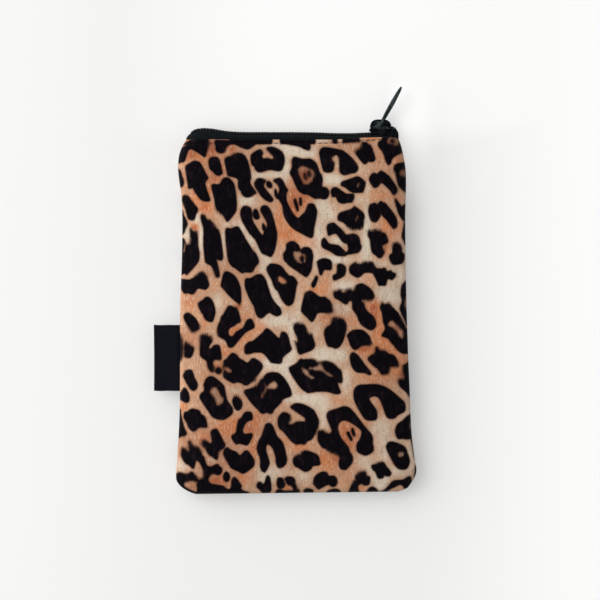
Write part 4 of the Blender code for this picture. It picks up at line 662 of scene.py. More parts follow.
def inside_by(outlines, x, y, reach=2.5):
    """Distance in millimetres inside the nearest outline, below 0 outside and never under -reach."""
    flat_x, flat_y = x.ravel(), y.ravel()
    found = np.full(flat_x.shape, -reach)
    for points in outlines:
        line = closed_curve(points)
        low, high = line.min(0) - reach, line.max(0) + reach
        near = np.nonzero((flat_x > low[0]) & (flat_x < high[0]) & (flat_y > low[1]) & (flat_y < high[1]))[0]
        if not len(near):
            continue
        px, py = flat_x[near, None], flat_y[near, None]
        ax, ay = line[:, 0], line[:, 1]
        bx, by = np.roll(ax, -1), np.roll(ay, -1)
        dx, dy = bx - ax, by - ay
        t = np.clip(((px - ax) * dx + (py - ay) * dy) / (dx * dx + dy * dy + 1e-12), 0, 1)
        distance = np.sqrt(((px - ax - t * dx) ** 2 + (py - ay - t * dy) ** 2).min(1))
        crosses = ((ay > py) != (by > py)) & (px < ax + (py - ay) * dx / np.where(dy == 0, 1e-12, dy))
        signed = np.where(crosses.sum(1) % 2 == 1, distance, -distance)
        found[near] = np.maximum(found[near], signed)
    return found.reshape(x.shape)


print("a curve of", len(closed_curve(SPOTS[0])), "points")


# %% Values of the print at a place
def patches(spots, x, y):
    """Strength of soft round patches, 0 to 1."""
    clear = np.ones(x.shape)
    for cx, cy, reach_x, reach_y, strength in spots:
        away = ((x - cx) / reach_x) ** 2 + ((y - cy) / reach_y) ** 2
        clear *= 1 - strength * np.exp(-away)
    return 1 - clear


def print_values(x, y):
    """Values of the print at plan places: ink, island, looseness and the five ground colours, of which brown
    and pale also hold painted shade and painted light at the side seams.
    """
    islands, dim = np.full(x.shape, -2.5), np.zeros(x.shape)
    for outline, dimness in zip(ISLANDS, DIMNESS):
        one = inside_by((outline,), x, y)
        dim = np.where(one > islands, dimness, dim)
        islands = np.maximum(islands, one)
    gaps = inside_by(STRIP_GAPS, x, y)
    above = y > stitch_y(x)
    ink = np.maximum(inside_by(SPOTS, x, y), np.minimum(y - stitch_y(x), -gaps))
    ink = np.minimum(ink, -islands)
    ink = np.where(above, np.minimum(ink, -gaps), ink)
    ink = np.maximum(ink, inside_by(STREAKS, x, y))
    loose = np.maximum(patches(LOOSE, x, y), 0.4 * smooth_step(-1.6, -0.6, islands))
    return {
        "ink": ink, "island": islands, "dim": dim, "loose": loose, "cream": patches(CREAM, x, y),
        "orange": patches(ORANGE, x, y), "rust": patches(RUST, x, y), "brown_and_painted_shade": patches(BROWN_AND_PAINTED_SHADE, x, y),
        "pale_and_painted_light": patches(PALE_AND_PAINTED_LIGHT, x, y),
    }


print("values", sorted(print_values(np.zeros((1, 1)), np.zeros((1, 1)))))

# %% [markdown]
# ## Materials
# All the cloth is matt. The effects that several cloths share are node groups: a woven grain, and
# fine hairs. They read the place on the cloth that is kept on the mesh as an attribute in
# millimetres, so the pattern moves with the cloth, which a pattern in space would not do.

# %% Node helpers
def feed(tree, value, socket):
    if isinstance(value, bpy.types.NodeSocket):
        tree.links.new(value, socket)
    else:
        socket.default_value = value


def new_group(name, inputs, outputs):
    """A node group with named inputs (name, type, value) and outputs (name, type)."""
    group = bpy.data.node_groups.new(name, "ShaderNodeTree")
    for label, kind, value in inputs:
        socket = group.interface.new_socket(label, in_out="INPUT", socket_type=kind)
        if value is not None:
            socket.default_value = value
    for label, kind in outputs:
        group.interface.new_socket(label, in_out="OUTPUT", socket_type=kind)
    group.nodes.new("NodeGroupInput")
    group.nodes.new("NodeGroupOutput")
    return group


def node(tree, kind, settings=None, **inputs):
    """A node with its settings and its inputs, which are values or sockets."""
    made = tree.nodes.new(kind)
    for key, value in (settings or {}).items():
        setattr(made, key, value)
    for key, value in inputs.items():
        numbered = key[0] == "i" and key[1:].isdigit()
        feed(tree, value, made.inputs[int(key[1:]) if numbered else key.replace("_", " ")])
    return made


def maths(tree, operation, *values):
    numbered = {f"i{k}": value for k, value in enumerate(values)}
    return node(tree, "ShaderNodeMath", {"operation": operation}, **numbered).outputs[0]


def mix(tree, share, a, b):
    return node(tree, "ShaderNodeMix", {"data_type": "RGBA"}, i0=share, i6=a, i7=b).outputs[2]


def ends(tree):
    return tree.nodes["Group Input"].outputs, tree.nodes["Group Output"].inputs


def shade(red, green, blue):
    """A colour from its 0 to 255 screen values."""
    shares = (red / 255, green / 255, blue / 255)
    return tuple(s / 12.92 if s <= 0.04045 else ((s + 0.055) / 1.055) ** 2.4 for s in shares) + (1.0,)


def new_material(name, roughness, metallic=0.0, slot=None):
    made = bpy.data.materials.new(name)
    made.use_nodes = True
    shader = made.node_tree.nodes["Principled BSDF"]
    shader.inputs["Roughness"].default_value = roughness
    shader.inputs["Metallic"].default_value = metallic
    made["slot"] = slot or name
    return made, made.node_tree, shader


print("a middle grey is", round(shade(128, 128, 128)[0], 3))


# %% Woven grain: two crossed sets of threads
weave = new_group(
    "Weave",
    [("Place", "NodeSocketVector", None), ("Pitch", "NodeSocketFloat", 0.5)],
    [("Height", "NodeSocketFloat")],
)
given, result = ends(weave)
parts = node(weave, "ShaderNodeSeparateXYZ", Vector=given["Place"]).outputs
turn = maths(weave, "DIVIDE", 6.2832, given["Pitch"])
warp = maths(weave, "SINE", maths(weave, "MULTIPLY", parts["X"], turn))
weft = maths(weave, "SINE", maths(weave, "MULTIPLY", parts["Y"], turn))
weave.links.new(maths(weave, "MULTIPLY", warp, weft), result["Height"])
print("weave has", len(weave.nodes), "nodes")

# %% Hairs: fine streaks along Y
hairs = new_group(
    "Hairs",
    [("Place", "NodeSocketVector", None), ("Fineness", "NodeSocketFloat", 1.0),
     ("Stretch", "NodeSocketFloat", 0.25)],
    [("Value", "NodeSocketFloat")],
)
given, result = ends(hairs)
parts = node(hairs, "ShaderNodeSeparateXYZ", Vector=given["Place"]).outputs
along = maths(hairs, "MULTIPLY", parts["Y"], given["Stretch"])
stretched = node(hairs, "ShaderNodeCombineXYZ", X=parts["X"], Y=along, Z=parts["Z"]).outputs[0]
grain = node(hairs, "ShaderNodeTexNoise", Vector=stretched, Scale=given["Fineness"], Detail=3.0)
grain.inputs["Roughness"].default_value = 0.6
hairs.links.new(grain.outputs[0], result["Value"])
print("hairs has", len(hairs.nodes), "nodes")

# %% [markdown]
# ## Printed cloth
# A warm ground is mixed from cream, orange and rust patches and streaked with hairs. The black ink
# lies over it. Its edge is the kept distance, pushed about by the hairs, so it looks dyed and not cut.

# %% Reading the cloth
def attribute(tree, name, output="Fac"):
    return node(tree, "ShaderNodeAttribute", {"attribute_name": name}).outputs[output]


def use(tree, group, **inputs):
    made = tree.nodes.new("ShaderNodeGroup")
    made.node_tree = group
    for key, value in inputs.items():
        feed(tree, value, made.inputs[key])
    return made.outputs


def ramp(tree, value, low, high, out_low=0.0, out_high=1.0):
    return node(
        tree, "ShaderNodeMapRange", {"interpolation_type": "SMOOTHSTEP"},
        Value=value, From_Min=low, From_Max=high, To_Min=out_low, To_Max=out_high,
    ).outputs[0]


cloth, tree, shader = new_material("printed_cloth", 0.85)
place = attribute(tree, "cloth", "Vector")
coarse = use(tree, hairs, Place=place, Fineness=0.55, Stretch=0.35)["Value"]
fine = use(tree, hairs, Place=place, Fineness=1.9, Stretch=0.22)["Value"]
grain = use(tree, weave, Place=place, Pitch=0.62)["Height"]
mottle = use(tree, hairs, Place=place, Fineness=2.6, Stretch=1.0)["Value"]
cream, orange, rust, loose = (attribute(tree, name) for name in ("cream", "orange", "rust", "loose"))
brown_and_painted_shade, light = attribute(tree, "brown_and_painted_shade"), attribute(tree, "pale_and_painted_light")
print("the cloth reads", len(tree.nodes), "nodes")

# %% Ground colour
ground = mix(tree, ramp(tree, cream, 0.0, 0.95), shade(202, 159, 127), shade(222, 209, 188))
ground = mix(tree, ramp(tree, orange, 0.0, 1.0), ground, shade(214, 132, 80))
ground = mix(tree, ramp(tree, rust, 0.05, 0.95), ground, shade(168, 80, 46))
# Brown and pale: browner and paler print, with painted shade along the left seam and painted light along the
# right seam.
ground = mix(tree, maths(tree, "MULTIPLY", brown_and_painted_shade, 0.6), ground, shade(158, 96, 68))
ground = mix(tree, maths(tree, "MULTIPLY", light, 0.6), ground, shade(244, 228, 208))
streak = ramp(tree, coarse, 0.5, 0.75)
ground = mix(tree, maths(tree, "MULTIPLY", streak, 0.42), ground, shade(160, 104, 76))
thin = ramp(tree, fine, 0.5, 0.68)
ground = mix(tree, maths(tree, "MULTIPLY", thin, 0.46), ground, shade(236, 216, 194))
worn = ramp(tree, mottle, 0.45, 0.6)
ground = mix(tree, maths(tree, "MULTIPLY", worn, 0.4), ground, shade(132, 88, 66))

island = ramp(tree, attribute(tree, "island"), -0.9, 0.3)
ground = mix(tree, maths(tree, "MULTIPLY", island, attribute(tree, "dim")), ground, shade(62, 36, 32))
print("ground", len(tree.nodes), "nodes")

# %% Black ink and its hairy edge
stray = maths(tree, "MULTIPLY_ADD", loose, 3.4, 0.5)
furry = maths(tree, "MULTIPLY_ADD", maths(tree, "SUBTRACT", fine, 0.5), stray, attribute(tree, "ink"))
halo = ramp(tree, furry, -1.3, 0.0)
ground = mix(tree, maths(tree, "MULTIPLY", halo, 0.5), ground, shade(112, 66, 48))
haze = maths(tree, "MULTIPLY", ramp(tree, furry, -2.1, 0.6), maths(tree, "MULTIPLY", loose, 0.8))
ground = mix(tree, haze, ground, shade(48, 26, 24))
outer_end = maths(tree, "MULTIPLY_ADD", loose, -0.5, -0.62)
inner_end = maths(tree, "MULTIPLY_ADD", loose, 0.8, 0.1)
ink = ramp(tree, furry, outer_end, inner_end)
black = mix(tree, ramp(tree, fine, 0.5, 0.9), shade(5, 2, 7), shade(20, 12, 18))
black = mix(tree, maths(tree, "MULTIPLY", streak, 0.5), black, shade(38, 24, 32))
colour = mix(tree, ink, ground, black)
tree.links.new(colour, shader.inputs["Base Color"])
height = maths(tree, "ADD", maths(tree, "MULTIPLY", grain, 0.35), maths(tree, "MULTIPLY", fine, 0.8))
bump = node(tree, "ShaderNodeBump", Strength=0.25, Distance=0.00012, Height=height)
tree.links.new(bump.outputs[0], shader.inputs["Normal"])
shader.inputs["Sheen Weight"].default_value = 0.04
shader.inputs["Sheen Roughness"].default_value = 0.5
shader.inputs["Specular IOR Level"].default_value = 0.05
print("printed cloth", len(tree.nodes), "nodes")


# %% Plain cloths: a woven grain on one dark or pale colour
def plain_cloth(name, dark, light, pitch, roughness=0.85):
    made, tree, shader = new_material(name, roughness)
    place = attribute(tree, "cloth", "Vector")
    grain = use(tree, weave, Place=place, Pitch=pitch)["Height"]
    spots = use(tree, hairs, Place=place, Fineness=1.2, Stretch=1.0)["Value"]
    worn = maths(tree, "ADD", maths(tree, "MULTIPLY", grain, 0.3), spots)
    tree.links.new(mix(tree, ramp(tree, worn, 0.35, 0.95), dark, light), shader.inputs["Base Color"])
    bump = node(tree, "ShaderNodeBump", Strength=0.6, Distance=0.00015, Height=grain)
    tree.links.new(bump.outputs[0], shader.inputs["Normal"])
    shader.inputs["Specular IOR Level"].default_value = 0.08
    return made


tape_cloth = plain_cloth("tape_cloth", shade(10, 14, 16), shade(30, 38, 42), 0.7)
lining_cloth = plain_cloth("lining_cloth", shade(22, 22, 26), shade(48, 48, 54), 0.5)
label_satin = plain_cloth("label_satin", shade(8, 9, 18), shade(24, 27, 38), 0.55, roughness=0.7)
# The filler cord is near black, as its own dark colour and also as painted shade: drawn thick, it darkens the
# gaps between the coil's turns.
cord_cloth = plain_cloth("cord_cloth", shade(6, 7, 8), shade(12, 14, 14), 0.3)
foam = plain_cloth("foam", shade(222, 220, 212), shade(236, 234, 228), 0.9)
thread = plain_cloth("thread", shade(12, 8, 8), shade(40, 26, 22), 0.25, roughness=0.6)
print("plain cloths", [m.name for m in (tape_cloth, lining_cloth, label_satin, cord_cloth, foam, thread)])


# %% Nylon and painted metal
def hard(name, dark, light, roughness, metallic=0.0, scale=400.0, gloss=0.5, slot=None):
    made, tree, shader = new_material(name, roughness, metallic, slot)
    place = node(tree, "ShaderNodeTexCoord").outputs["Object"]
    spots = node(tree, "ShaderNodeTexNoise", Vector=place, Scale=scale, Detail=3.0).outputs[0]
    tree.links.new(mix(tree, ramp(tree, spots, 0.35, 0.7), dark, light), shader.inputs["Base Color"])
    rough = ramp(tree, spots, 0.3, 0.7, roughness * 0.85, roughness * 1.2)
    tree.links.new(rough, shader.inputs["Roughness"])
    shader.inputs["Specular IOR Level"].default_value = gloss
    return made


coil_nylon = hard("coil_nylon", shade(50, 54, 59), shade(72, 78, 84), 0.4, gloss=0.1)
# Painted shade: the deeper parts of each turn, near the centre line, are painted near black so the gaps
# between the turns look dark; the outside of each turn keeps the nylon's colour.
tree, shader = coil_nylon.node_tree, coil_nylon.node_tree.nodes["Principled BSDF"]
place = node(tree, "ShaderNodeTexCoord").outputs["Object"]
height = node(tree, "ShaderNodeSeparateXYZ", Vector=place).outputs["Z"]
depth = maths(tree, "ABSOLUTE", maths(tree, "SUBTRACT", height, SEAM_Z * MM))
out_of_painted_shade = ramp(tree, depth, 2.3 * MM, 2.75 * MM)
old_colour = shader.inputs["Base Color"].links[0].from_socket
tree.links.new(mix(tree, out_of_painted_shade, shade(1, 1, 2), old_colour), shader.inputs["Base Color"])
slider_paint = hard("slider_paint", shade(3, 4, 6), shade(12, 15, 17), 0.5, scale=250.0, gloss=0.03)
# Painted highlight: the puller and the cap's cheeks carry the slider's one paint, drawn lighter and mottled.
highlight_paint = {"roughness": 0.45, "scale": 500.0, "gloss": 0.1, "slot": "slider_paint"}
puller_paint = hard("puller_paint", shade(18, 23, 25), shade(58, 68, 70), **highlight_paint)
cap_paint = hard("cap_paint", shade(26, 33, 36), shade(64, 76, 79), **highlight_paint)
spring_steel = hard("spring_steel", shade(150, 150, 153), shade(190, 190, 193), 0.3, metallic=1.0)
print("materials", len(bpy.data.materials), "groups", len(bpy.data.node_groups))

# %% [markdown]
# ## Outer panels
# Each printed panel is folded in at the mouth and sewn into the seam round its other sides. A flat
# sheet with a thickness would lose the fold, so it is one closed skin: up the outside, over the fold
# and down the inside. First come the places of its grid and the small shapes that sewing leaves.

# %% Places of the grid
def side_shares(count):
    return (np.arange(count + 1) / count) ** 1.2


def across_places(left_count, right_count):
    """Shares from -1 at the left seam to 1 at the right seam, with 0 on the cut."""
    left = -1 + side_shares(left_count)
    right = 1 - side_shares(right_count)[::-1]
    return np.concatenate([left[:-1], right])


def along_places(count):
    t = np.arange(count + 1) / count
    return np.where(t < 0.5, 0.5 * (2 * t) ** 1.15, 1 - 0.5 * (2 - 2 * t) ** 1.15)


print("first shares", along_places(300)[:3].round(4).tolist())


# %% Puckers and the groove of the stitches
back = Surface(-1, 0.0, 0.0)


def pucker(x, y, half):
    """Small puckers along the seams, where the thread draws the cloth in."""
    surface = front if half > 0 else back
    side = np.minimum(x - surface.left(y), surface.right(y) - x)
    low = y - bottom_y(x)
    edge = np.clip(np.minimum(side, low), 0, None)
    share = np.exp(-((edge - 3.5) / 2.4) ** 2) * 0.16
    along_edge = np.where(side < low, y, x)
    return np.sin(along_edge * 2 * math.pi / 7.3 + 1.3 * np.sin(along_edge * 0.19)) * share


def groove(x, y):
    """The dent along the stitches, and the small roll of the fold above them."""
    from_line = (stitch_y(x) - y) / 0.5
    roll = fold_y(x) - y
    return -0.42 * np.exp(-from_line**2) + 0.10 * np.exp(-((roll - 4.2) / 1.6) ** 2)


print("dent at the stitches", round(float(groove(0.0, stitch_y(0.0))), 2), "mm")

# %% [markdown]
# ## Soft waves from a cloth simulation
# Padding never lies quite even: the seams hold the cloth short, and it swells between them. A coarse
# copy of each wall, five times as large as life, is blown up by Blender's cloth solver with its seams
# pinned. The even swelling is taken out again, because the drawn height has it. What is left are the
# waves, and all the layers of a wall share them.

# %% A coarse wall
TIMES, FOLD_DROP = 5.0, 1.1
COARSE_ACROSS, COARSE_ROWS = (24, 16), 58


def grid_faces(index):
    corners = (index[:-1, :-1], index[:-1, 1:], index[1:, 1:], index[1:, :-1])
    return np.stack(corners, -1).reshape(-1, 4).tolist()


def turn_faces_out(mesh):
    made = bmesh.new()
    made.from_mesh(mesh)
    bmesh.ops.recalc_face_normals(made, faces=made.faces)
    made.to_mesh(mesh)
    made.free()


def pillow(half):
    """A closed coarse wall over a flat underside, whose seams and underside are pinned."""
    surface = front if half > 0 else back
    x, y = surface.plan(across_places(*COARSE_ACROSS), along_places(COARSE_ROWS), FOLD_DROP)
    rows, columns = x.shape
    index = np.arange(x.size).reshape(rows, columns)
    inner = np.zeros(x.shape, bool)
    inner[1:-1, 1:-1] = True
    under = index.copy()
    under[inner] = x.size + np.arange(np.count_nonzero(inner))
    low = np.stack([x, y, np.full(x.shape, SEAM_Z)], -1)[inner]
    points = np.concatenate([np.stack([x, y, surface.z(x, y)], -1).reshape(-1, 3), low])
    mesh = bpy.data.meshes.new("pillow")
    mesh.from_pydata((points * MM * TIMES).tolist(), [], grid_faces(index) + grid_faces(under))
    turn_faces_out(mesh)
    obj = bpy.data.objects.new("pillow", mesh)
    bpy.context.scene.collection.objects.link(obj)
    pins = obj.vertex_groups.new(name="pins")
    pins.add([int(k) for k in index[~inner]] + list(range(x.size, len(points))), 1.0, "REPLACE")
    return obj, x.shape


print("coarse wall", COARSE_ROWS, "rows")


# %% Blowing it up
MOST_WAVE = 0.55


def blow_up(obj):
    """Heights of the cloth after twenty frames of pressure without gravity."""
    cloth_solver = obj.modifiers.new("cloth", "CLOTH")
    settings = cloth_solver.settings
    settings.vertex_group_mass = "pins"
    settings.use_pressure = True
    settings.uniform_pressure_force = 4.0
    settings.shrink_min = -0.02
    settings.effector_weights.gravity = 0
    cloth_solver.collision_settings.use_collision = False
    for number in range(1, 21):
        bpy.context.scene.frame_set(number)
    swollen = obj.evaluated_get(bpy.context.evaluated_depsgraph_get()).to_mesh()
    place = np.empty(len(swollen.vertices) * 3)
    swollen.vertices.foreach_get("co", place)
    bpy.context.scene.frame_set(1)
    return place.reshape(-1, 3)[:, 2] / (MM * TIMES)


def softened(values, times):
    """Neighbours averaged again and again, which leaves the broad swelling."""
    for _ in range(times):
        wide = np.pad(values, 1, mode="edge")
        values = (wide[:-2, 1:-1] + wide[2:, 1:-1] + wide[1:-1, :-2] + wide[1:-1, 2:] + 2 * values) / 6
    return values


def waves_of(half):
    """The waves of a wall on its coarse grid, in millimetres outwards."""
    obj, shape = pillow(half)
    drawn = np.array([v.co.z for v in obj.data.vertices]) / (MM * TIMES)
    rise = half * (blow_up(obj) - drawn)
    bpy.data.objects.remove(obj, do_unlink=True)
    rise = rise[: shape[0] * shape[1]].reshape(shape)
    return np.clip(0.5 * (rise - softened(rise, 40)), -MOST_WAVE, MOST_WAVE)


WAVES = {half: waves_of(half) for half in (1, -1)}
print("waves", [(round(float(w.min()), 2), round(float(w.max()), 2)) for w in WAVES.values()])


# %% Reading the waves at a place
def wave(x, y, half):
    """The waves at places on a wall, calm at the seams and at the mouth."""
    surface, table = (front, WAVES[1]) if half > 0 else (back, WAVES[-1])
    rows, columns = table.shape
    share = np.where(x < CUT, (x - CUT) / (CUT - surface.left(y)), (x - CUT) / (surface.right(y) - CUT))
    height = (y - bottom_y(x)) / (fold_y(x) - FOLD_DROP - bottom_y(x))
    row = np.clip(np.interp(height, along_places(rows - 1), np.arange(rows)), 0, rows - 1.001)
    column = np.clip(np.interp(share, across_places(*COARSE_ACROSS), np.arange(columns)), 0, columns - 1.001)
    i, j = row.astype(int), column.astype(int)
    a, b = row - i, column - j
    value = ((table[i, j] * (1 - b) + table[i, j + 1] * b) * (1 - a)
             + (table[i + 1, j] * (1 - b) + table[i + 1, j + 1] * b) * a)
    edge = np.minimum(np.minimum(x - surface.left(y), surface.right(y) - x), y - bottom_y(x))
    value = value * smooth_step(0.5, 4.0, edge) * (1 - smooth_step(73.0, 81.0, y))
    return value if half > 0 else np.minimum(value, back.z(x, y) - 0.02)


middle = np.zeros((1, 1))
print("wave in the middle", round(float(wave(middle, middle, 1)[0, 0]), 3), "mm")


# %% From points to a mesh
def vertex_normals(points):
    """Directions off a grid of points (rows, columns, xyz)."""
    along_rows = np.gradient(points, axis=0)
    along_columns = np.gradient(points, axis=1)
    normal = np.cross(along_columns, along_rows)
    length = np.linalg.norm(normal, axis=2, keepdims=True)
    return normal / np.maximum(length, 1e-9)


def mesh_object(name, points, faces, material, place=None, normals=None):
    """A mesh from points in millimetres; place is kept as the attribute that the cloth is read by."""
    points = np.asarray(points, float)
    mesh = bpy.data.meshes.new(name)
    mesh.from_pydata((points * MM).tolist(), [], faces)
    mesh.update()
    turn_faces_out(mesh)
    mesh.shade_smooth()
    keep = mesh.attributes.new("cloth", "FLOAT_VECTOR", "POINT")
    keep.data.foreach_set("vector", np.asarray(points if place is None else place, np.float32).ravel())
    mesh.materials.append(material)
    obj = bpy.data.objects.new(name, mesh)
    bpy.context.scene.collection.objects.link(obj)
    if normals is not None:
        mesh.normals_split_custom_set_from_vertices(np.asarray(normals, float).tolist())
    return obj


def add_values(obj, values):
    for key, array in values.items():
        kept = obj.data.attributes.new(key, "FLOAT", "POINT")
        kept.data.foreach_set("value", np.asarray(array, np.float32).ravel())


print("each mesh keeps its place on the cloth")


# %% Skins
def shell_faces(rows, columns):
    """Faces of a closed skin whose rows run up the outside and back down the inside."""
    index = np.arange(rows * columns).reshape(rows, columns)
    faces = grid_faces(index) + grid_faces(index[[-1, 0]])
    for r in range(rows // 2 - 1):
        a, b = index[r], index[r + 1]
        c, d = index[rows - 1 - r], index[rows - 2 - r]
        faces.append([int(a[0]), int(b[0]), int(d[0]), int(c[0])])
        faces.append([int(a[-1]), int(c[-1]), int(d[-1]), int(b[-1])])
    return faces


def skin(half, counts, inset, depth, thick, fold, top, lift, bumps):
    """Points of a closed skin: outside rows, fold rows, inside rows."""
    left_count, right_count, row_count = counts
    across, along = across_places(left_count, right_count), along_places(row_count)
    outside, inside = Surface(half, inset, depth), Surface(half, inset + thick, depth + thick)
    x, y = outside.plan(across, along, top)
    z = outside.z(x, y, lift(x, y)) + half * bumps(x, y)
    xi, yi = inside.plan(across, along, top)
    zi = inside.z(xi, yi, lift(xi, yi)) + half * bumps(xi, yi) * 0.9
    rows = [np.stack([x, y, z], -1)]
    if fold:
        a, b = np.stack([x, y, z], -1)[-1], np.stack([xi, yi, zi], -1)[-1]
        for turn in np.linspace(0, math.pi, fold + 2)[1:-1]:
            middle = (a + b) / 2 + (a - b) / 2 * math.cos(turn)
            middle[:, 1] += np.linalg.norm(a - b, axis=1) / 2 * math.sin(turn)
            rows.append(middle[None])
    rows.append(np.stack([xi, yi, zi], -1)[::-1])
    return np.concatenate(rows)


def parts_at(column):
    """The whole grid, or its left and right parts that meet at a column."""
    if column is None:
        return [("", slice(None))]
    return [("_left", slice(0, column + 1)), ("_right", slice(column, None))]


def panel(name, half, points, material, column=None, printed=False):
    """Objects of a skin, in one piece or in two."""
    normal = vertex_normals(points) * half
    made = []
    for suffix, part in parts_at(column):
        piece = points[:, part]
        rows, columns = piece.shape[:2]
        obj = mesh_object(name + suffix, piece.reshape(-1, 3), shell_faces(rows, columns), material,
                          normals=normal[:, part].reshape(-1, 3))
        if printed:
            nearer = 1 + (piece[..., 2] - SEAM_Z) / CAMERA_HEIGHT
            x = VIEW_X + (piece[..., 0] - VIEW_X) * nearer
            y = VIEW_Y + (piece[..., 1] - VIEW_Y) * nearer
            add_values(obj, print_values(x, y) if half > 0 else print_values(1.0 - x, -y))
        made.append(obj)
    return made


def nothing(x, y):
    return np.zeros(np.shape(x))


print("a skin of 4 rows and 3 columns has", len(shell_faces(4, 3)), "faces")


# %% Front and back panels
LEFT, RIGHT, ROWS = 118, 78, 300
outer_front_points = skin(1, (LEFT, RIGHT, ROWS), 0.0, 0.0, 0.8, 4, 1.1, nothing,
                          lambda x, y: pucker(x, y, 1) + groove(x, y) + wave(x, y, 1))
outer_front = panel("outer_front", 1, outer_front_points, cloth, column=LEFT, printed=True)
outer_back_points = skin(-1, (70, 46, 170), 0.0, 0.0, 0.8, 4, 1.1, nothing,
                         lambda x, y: -np.abs(pucker(x, y, -1)) * 0.5 + groove(x, y) + wave(x, y, -1))
outer_back = panel("outer_back", -1, outer_back_points, cloth, printed=True)
for obj in outer_front:
    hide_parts("outer_front")
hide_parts("outer_back")
print("front panel faces", [len(o.data.polygons) for o in outer_front])

# %% [markdown]
# ## Padding and lining
# Inside the print lie a thin foam and a black lining. They could be left out, since a closed pouch
# hides them, but the mouth opens. They use the panel's own rule further in. The foam stops short of
# the seam thread, and the lining comes out to the zip tape at the mouth.

# %% Padding and lining of both halves
def mouth_lift(x, y):
    return smooth_step(79.4, 82.6, y)


inner_layers = {}
for side, half in (("front", 1), ("back", -1)):
    pad = skin(half, (30, 20, 70), 2.0, 1.1, 1.6, 0, 9.0, nothing,
               lambda x, y: pucker(x, y, half) * 0.5 + wave(x, y, half))
    lining = skin(half, (40, 27, 84), 4.9, 3.0, 0.4, 0, 3.4, mouth_lift, lambda x, y: wave(x, y, half))
    column = (30, 40) if half > 0 else (None, None)
    inner_layers["padding_" + side] = panel("padding_" + side, half, pad, foam, column=column[0])
    inner_layers["lining_" + side] = panel("lining_" + side, half, lining, lining_cloth, column=column[1])
for name, pieces in inner_layers.items():
    for obj in pieces:
        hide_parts(name)
print("layers", sorted(inner_layers))

# %% [markdown]
# ## Zip tapes
# A woven tape carries each coil. It lies flat under the coil, turns over the edge of the mouth and
# runs down between the panel and its lining. Bending a flat strip would stretch it at the turn, so
# its cross-section is drawn and swept along the line of the zip, which is given point by point.

# %% Line of the zip
ZIP_LEFT_END = (
    (-52.5, -3.0), (-51.9, -2.0), (-51.2, -1.2), (-50.0, -0.3), (-48.9, 0.5), (-47.6, 1.4), (-44.6, 1.9),
    (-41.0, 1.8), (-38.0, 1.4), (-35.0, 0.85), (-32.0, 0.45), (-28.0, 0.15), (-24.0, 0.0),
)
ZIP_RIGHT_END = (
    (0.0, 0.0), (11.0, -0.15), (20.0, -0.5), (29.0, -0.5), (36.0, -0.2), (41.0, 0.0), (44.0, 0.0),
    (46.9, 0.0), (47.3, 1.8), (47.7, 2.9), (48.4, 2.6), (49.5, 1.6), (50.5, 1.1), (51.0, 0.4), (51.4, -0.9),
)
TAPE_TOP, COIL_PITCH, COIL_START, COIL_END = 87.8, 1.48, -49.6, 49.6


def zip_rise(x):
    x = np.asarray(x, float)
    return np.where(x < 0.0, through(ZIP_LEFT_END, x), through(ZIP_RIGHT_END, x))


def parting(x, half):
    """The front coil stands off the centre line to pass the slider's post."""
    return 1.5 * smooth_step(41.6, 44.2, x) if half > 0 else 0.0 * np.asarray(x)


def run_length(points):
    """How far along a line each of its points is."""
    return np.concatenate([[0], np.cumsum(np.linalg.norm(np.diff(points, axis=0), axis=1))])


print("zip line rises by", round(float(zip_rise(-44.6)), 2), "mm near its left end")


# %% The two tapes
def tape(side, half):
    ends_and_middle = ((-52.3, -45.5, 36), (-45, 46.5, 200), (46.8, 51.2, 32))
    x = np.concatenate([np.linspace(*part) for part in ends_and_middle])
    under, panel_face = Surface(half, 1.5, 1.25), Surface(half, 0.0, 1.05)
    top = TAPE_TOP + zip_rise(x) + 1.3 * (smooth_step(47.0, 48.4, x) + 1 - smooth_step(-50.2, -48.0, x))
    bend, thick = 1.4, 0.6
    wide = np.maximum(half * (panel_face.z(x, np.minimum(top - bend, 85.5)) - SEAM_Z), 2.1)
    centre_z, centre_y = wide - bend, top - bend
    edge = np.minimum(0.5 + parting(x, half), centre_z - 0.1)
    outer = [(edge, top), (edge * 0.5 + centre_z * 0.5, top)]
    inner = [(edge, top - thick), (edge * 0.5 + centre_z * 0.5, top - thick)]
    for turn in np.radians(np.arange(0, 91, 15)):
        outer.append((centre_z + bend * np.sin(turn), centre_y + bend * np.cos(turn)))
        inner.append((centre_z + (bend - thick) * np.sin(turn), centre_y + (bend - thick) * np.cos(turn)))
    for low in (84.0, 82.5, 80.8, 79.0):
        z = np.maximum(half * (under.z(x, np.full(x.shape, low)) - SEAM_Z), 1.0)
        outer.append((z, np.full(x.shape, low)))
        inner.append((z - thick, np.full(x.shape, low)))
    ring = inner[::-1] + outer
    points = np.stack([np.stack([x, y, SEAM_Z + half * z], -1) for z, y in ring])
    flat = np.zeros(points.shape)
    flat[..., 0] = x
    flat[..., 1] = run_length(points[:, 100])[:, None]
    cut = int(np.argmin(np.abs(x - CUT)))
    points[:, cut, 0] = CUT
    made = []
    for suffix, part in parts_at(cut if half > 0 else None):
        piece = points[:, part]
        faces = shell_faces(*piece.shape[:2])
        made.append(mesh_object("zip_tape_" + side + suffix, piece.reshape(-1, 3), faces, tape_cloth,
                                place=flat[:, part].reshape(-1, 3)))
        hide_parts("zip_tape_" + side)
    return made


tapes = {"front": tape("front", 1), "back": tape("back", -1)}
print("tape", [o.name for pieces in tapes.values() for o in pieces])

# %% [markdown]
# ## Coils
# Each coil is one nylon wire wound round a cord. Seen from the side its turns are close ribs with a
# thickened head that hooks into the other coil. A bent curve would give a round wire, but this one
# is pressed flat in places, so one turn is drawn as rings of their own sizes and copied along the zip.

# %% Places of the turns
xs = np.arange(COIL_START, COIL_END, 0.02)
line = np.stack([xs, TAPE_TOP + 0.2 + zip_rise(xs)], -1)
travelled = run_length(line)


def on_line(at):
    return np.stack([np.interp(at, travelled, line[:, k]) for k in (0, 1)], -1)


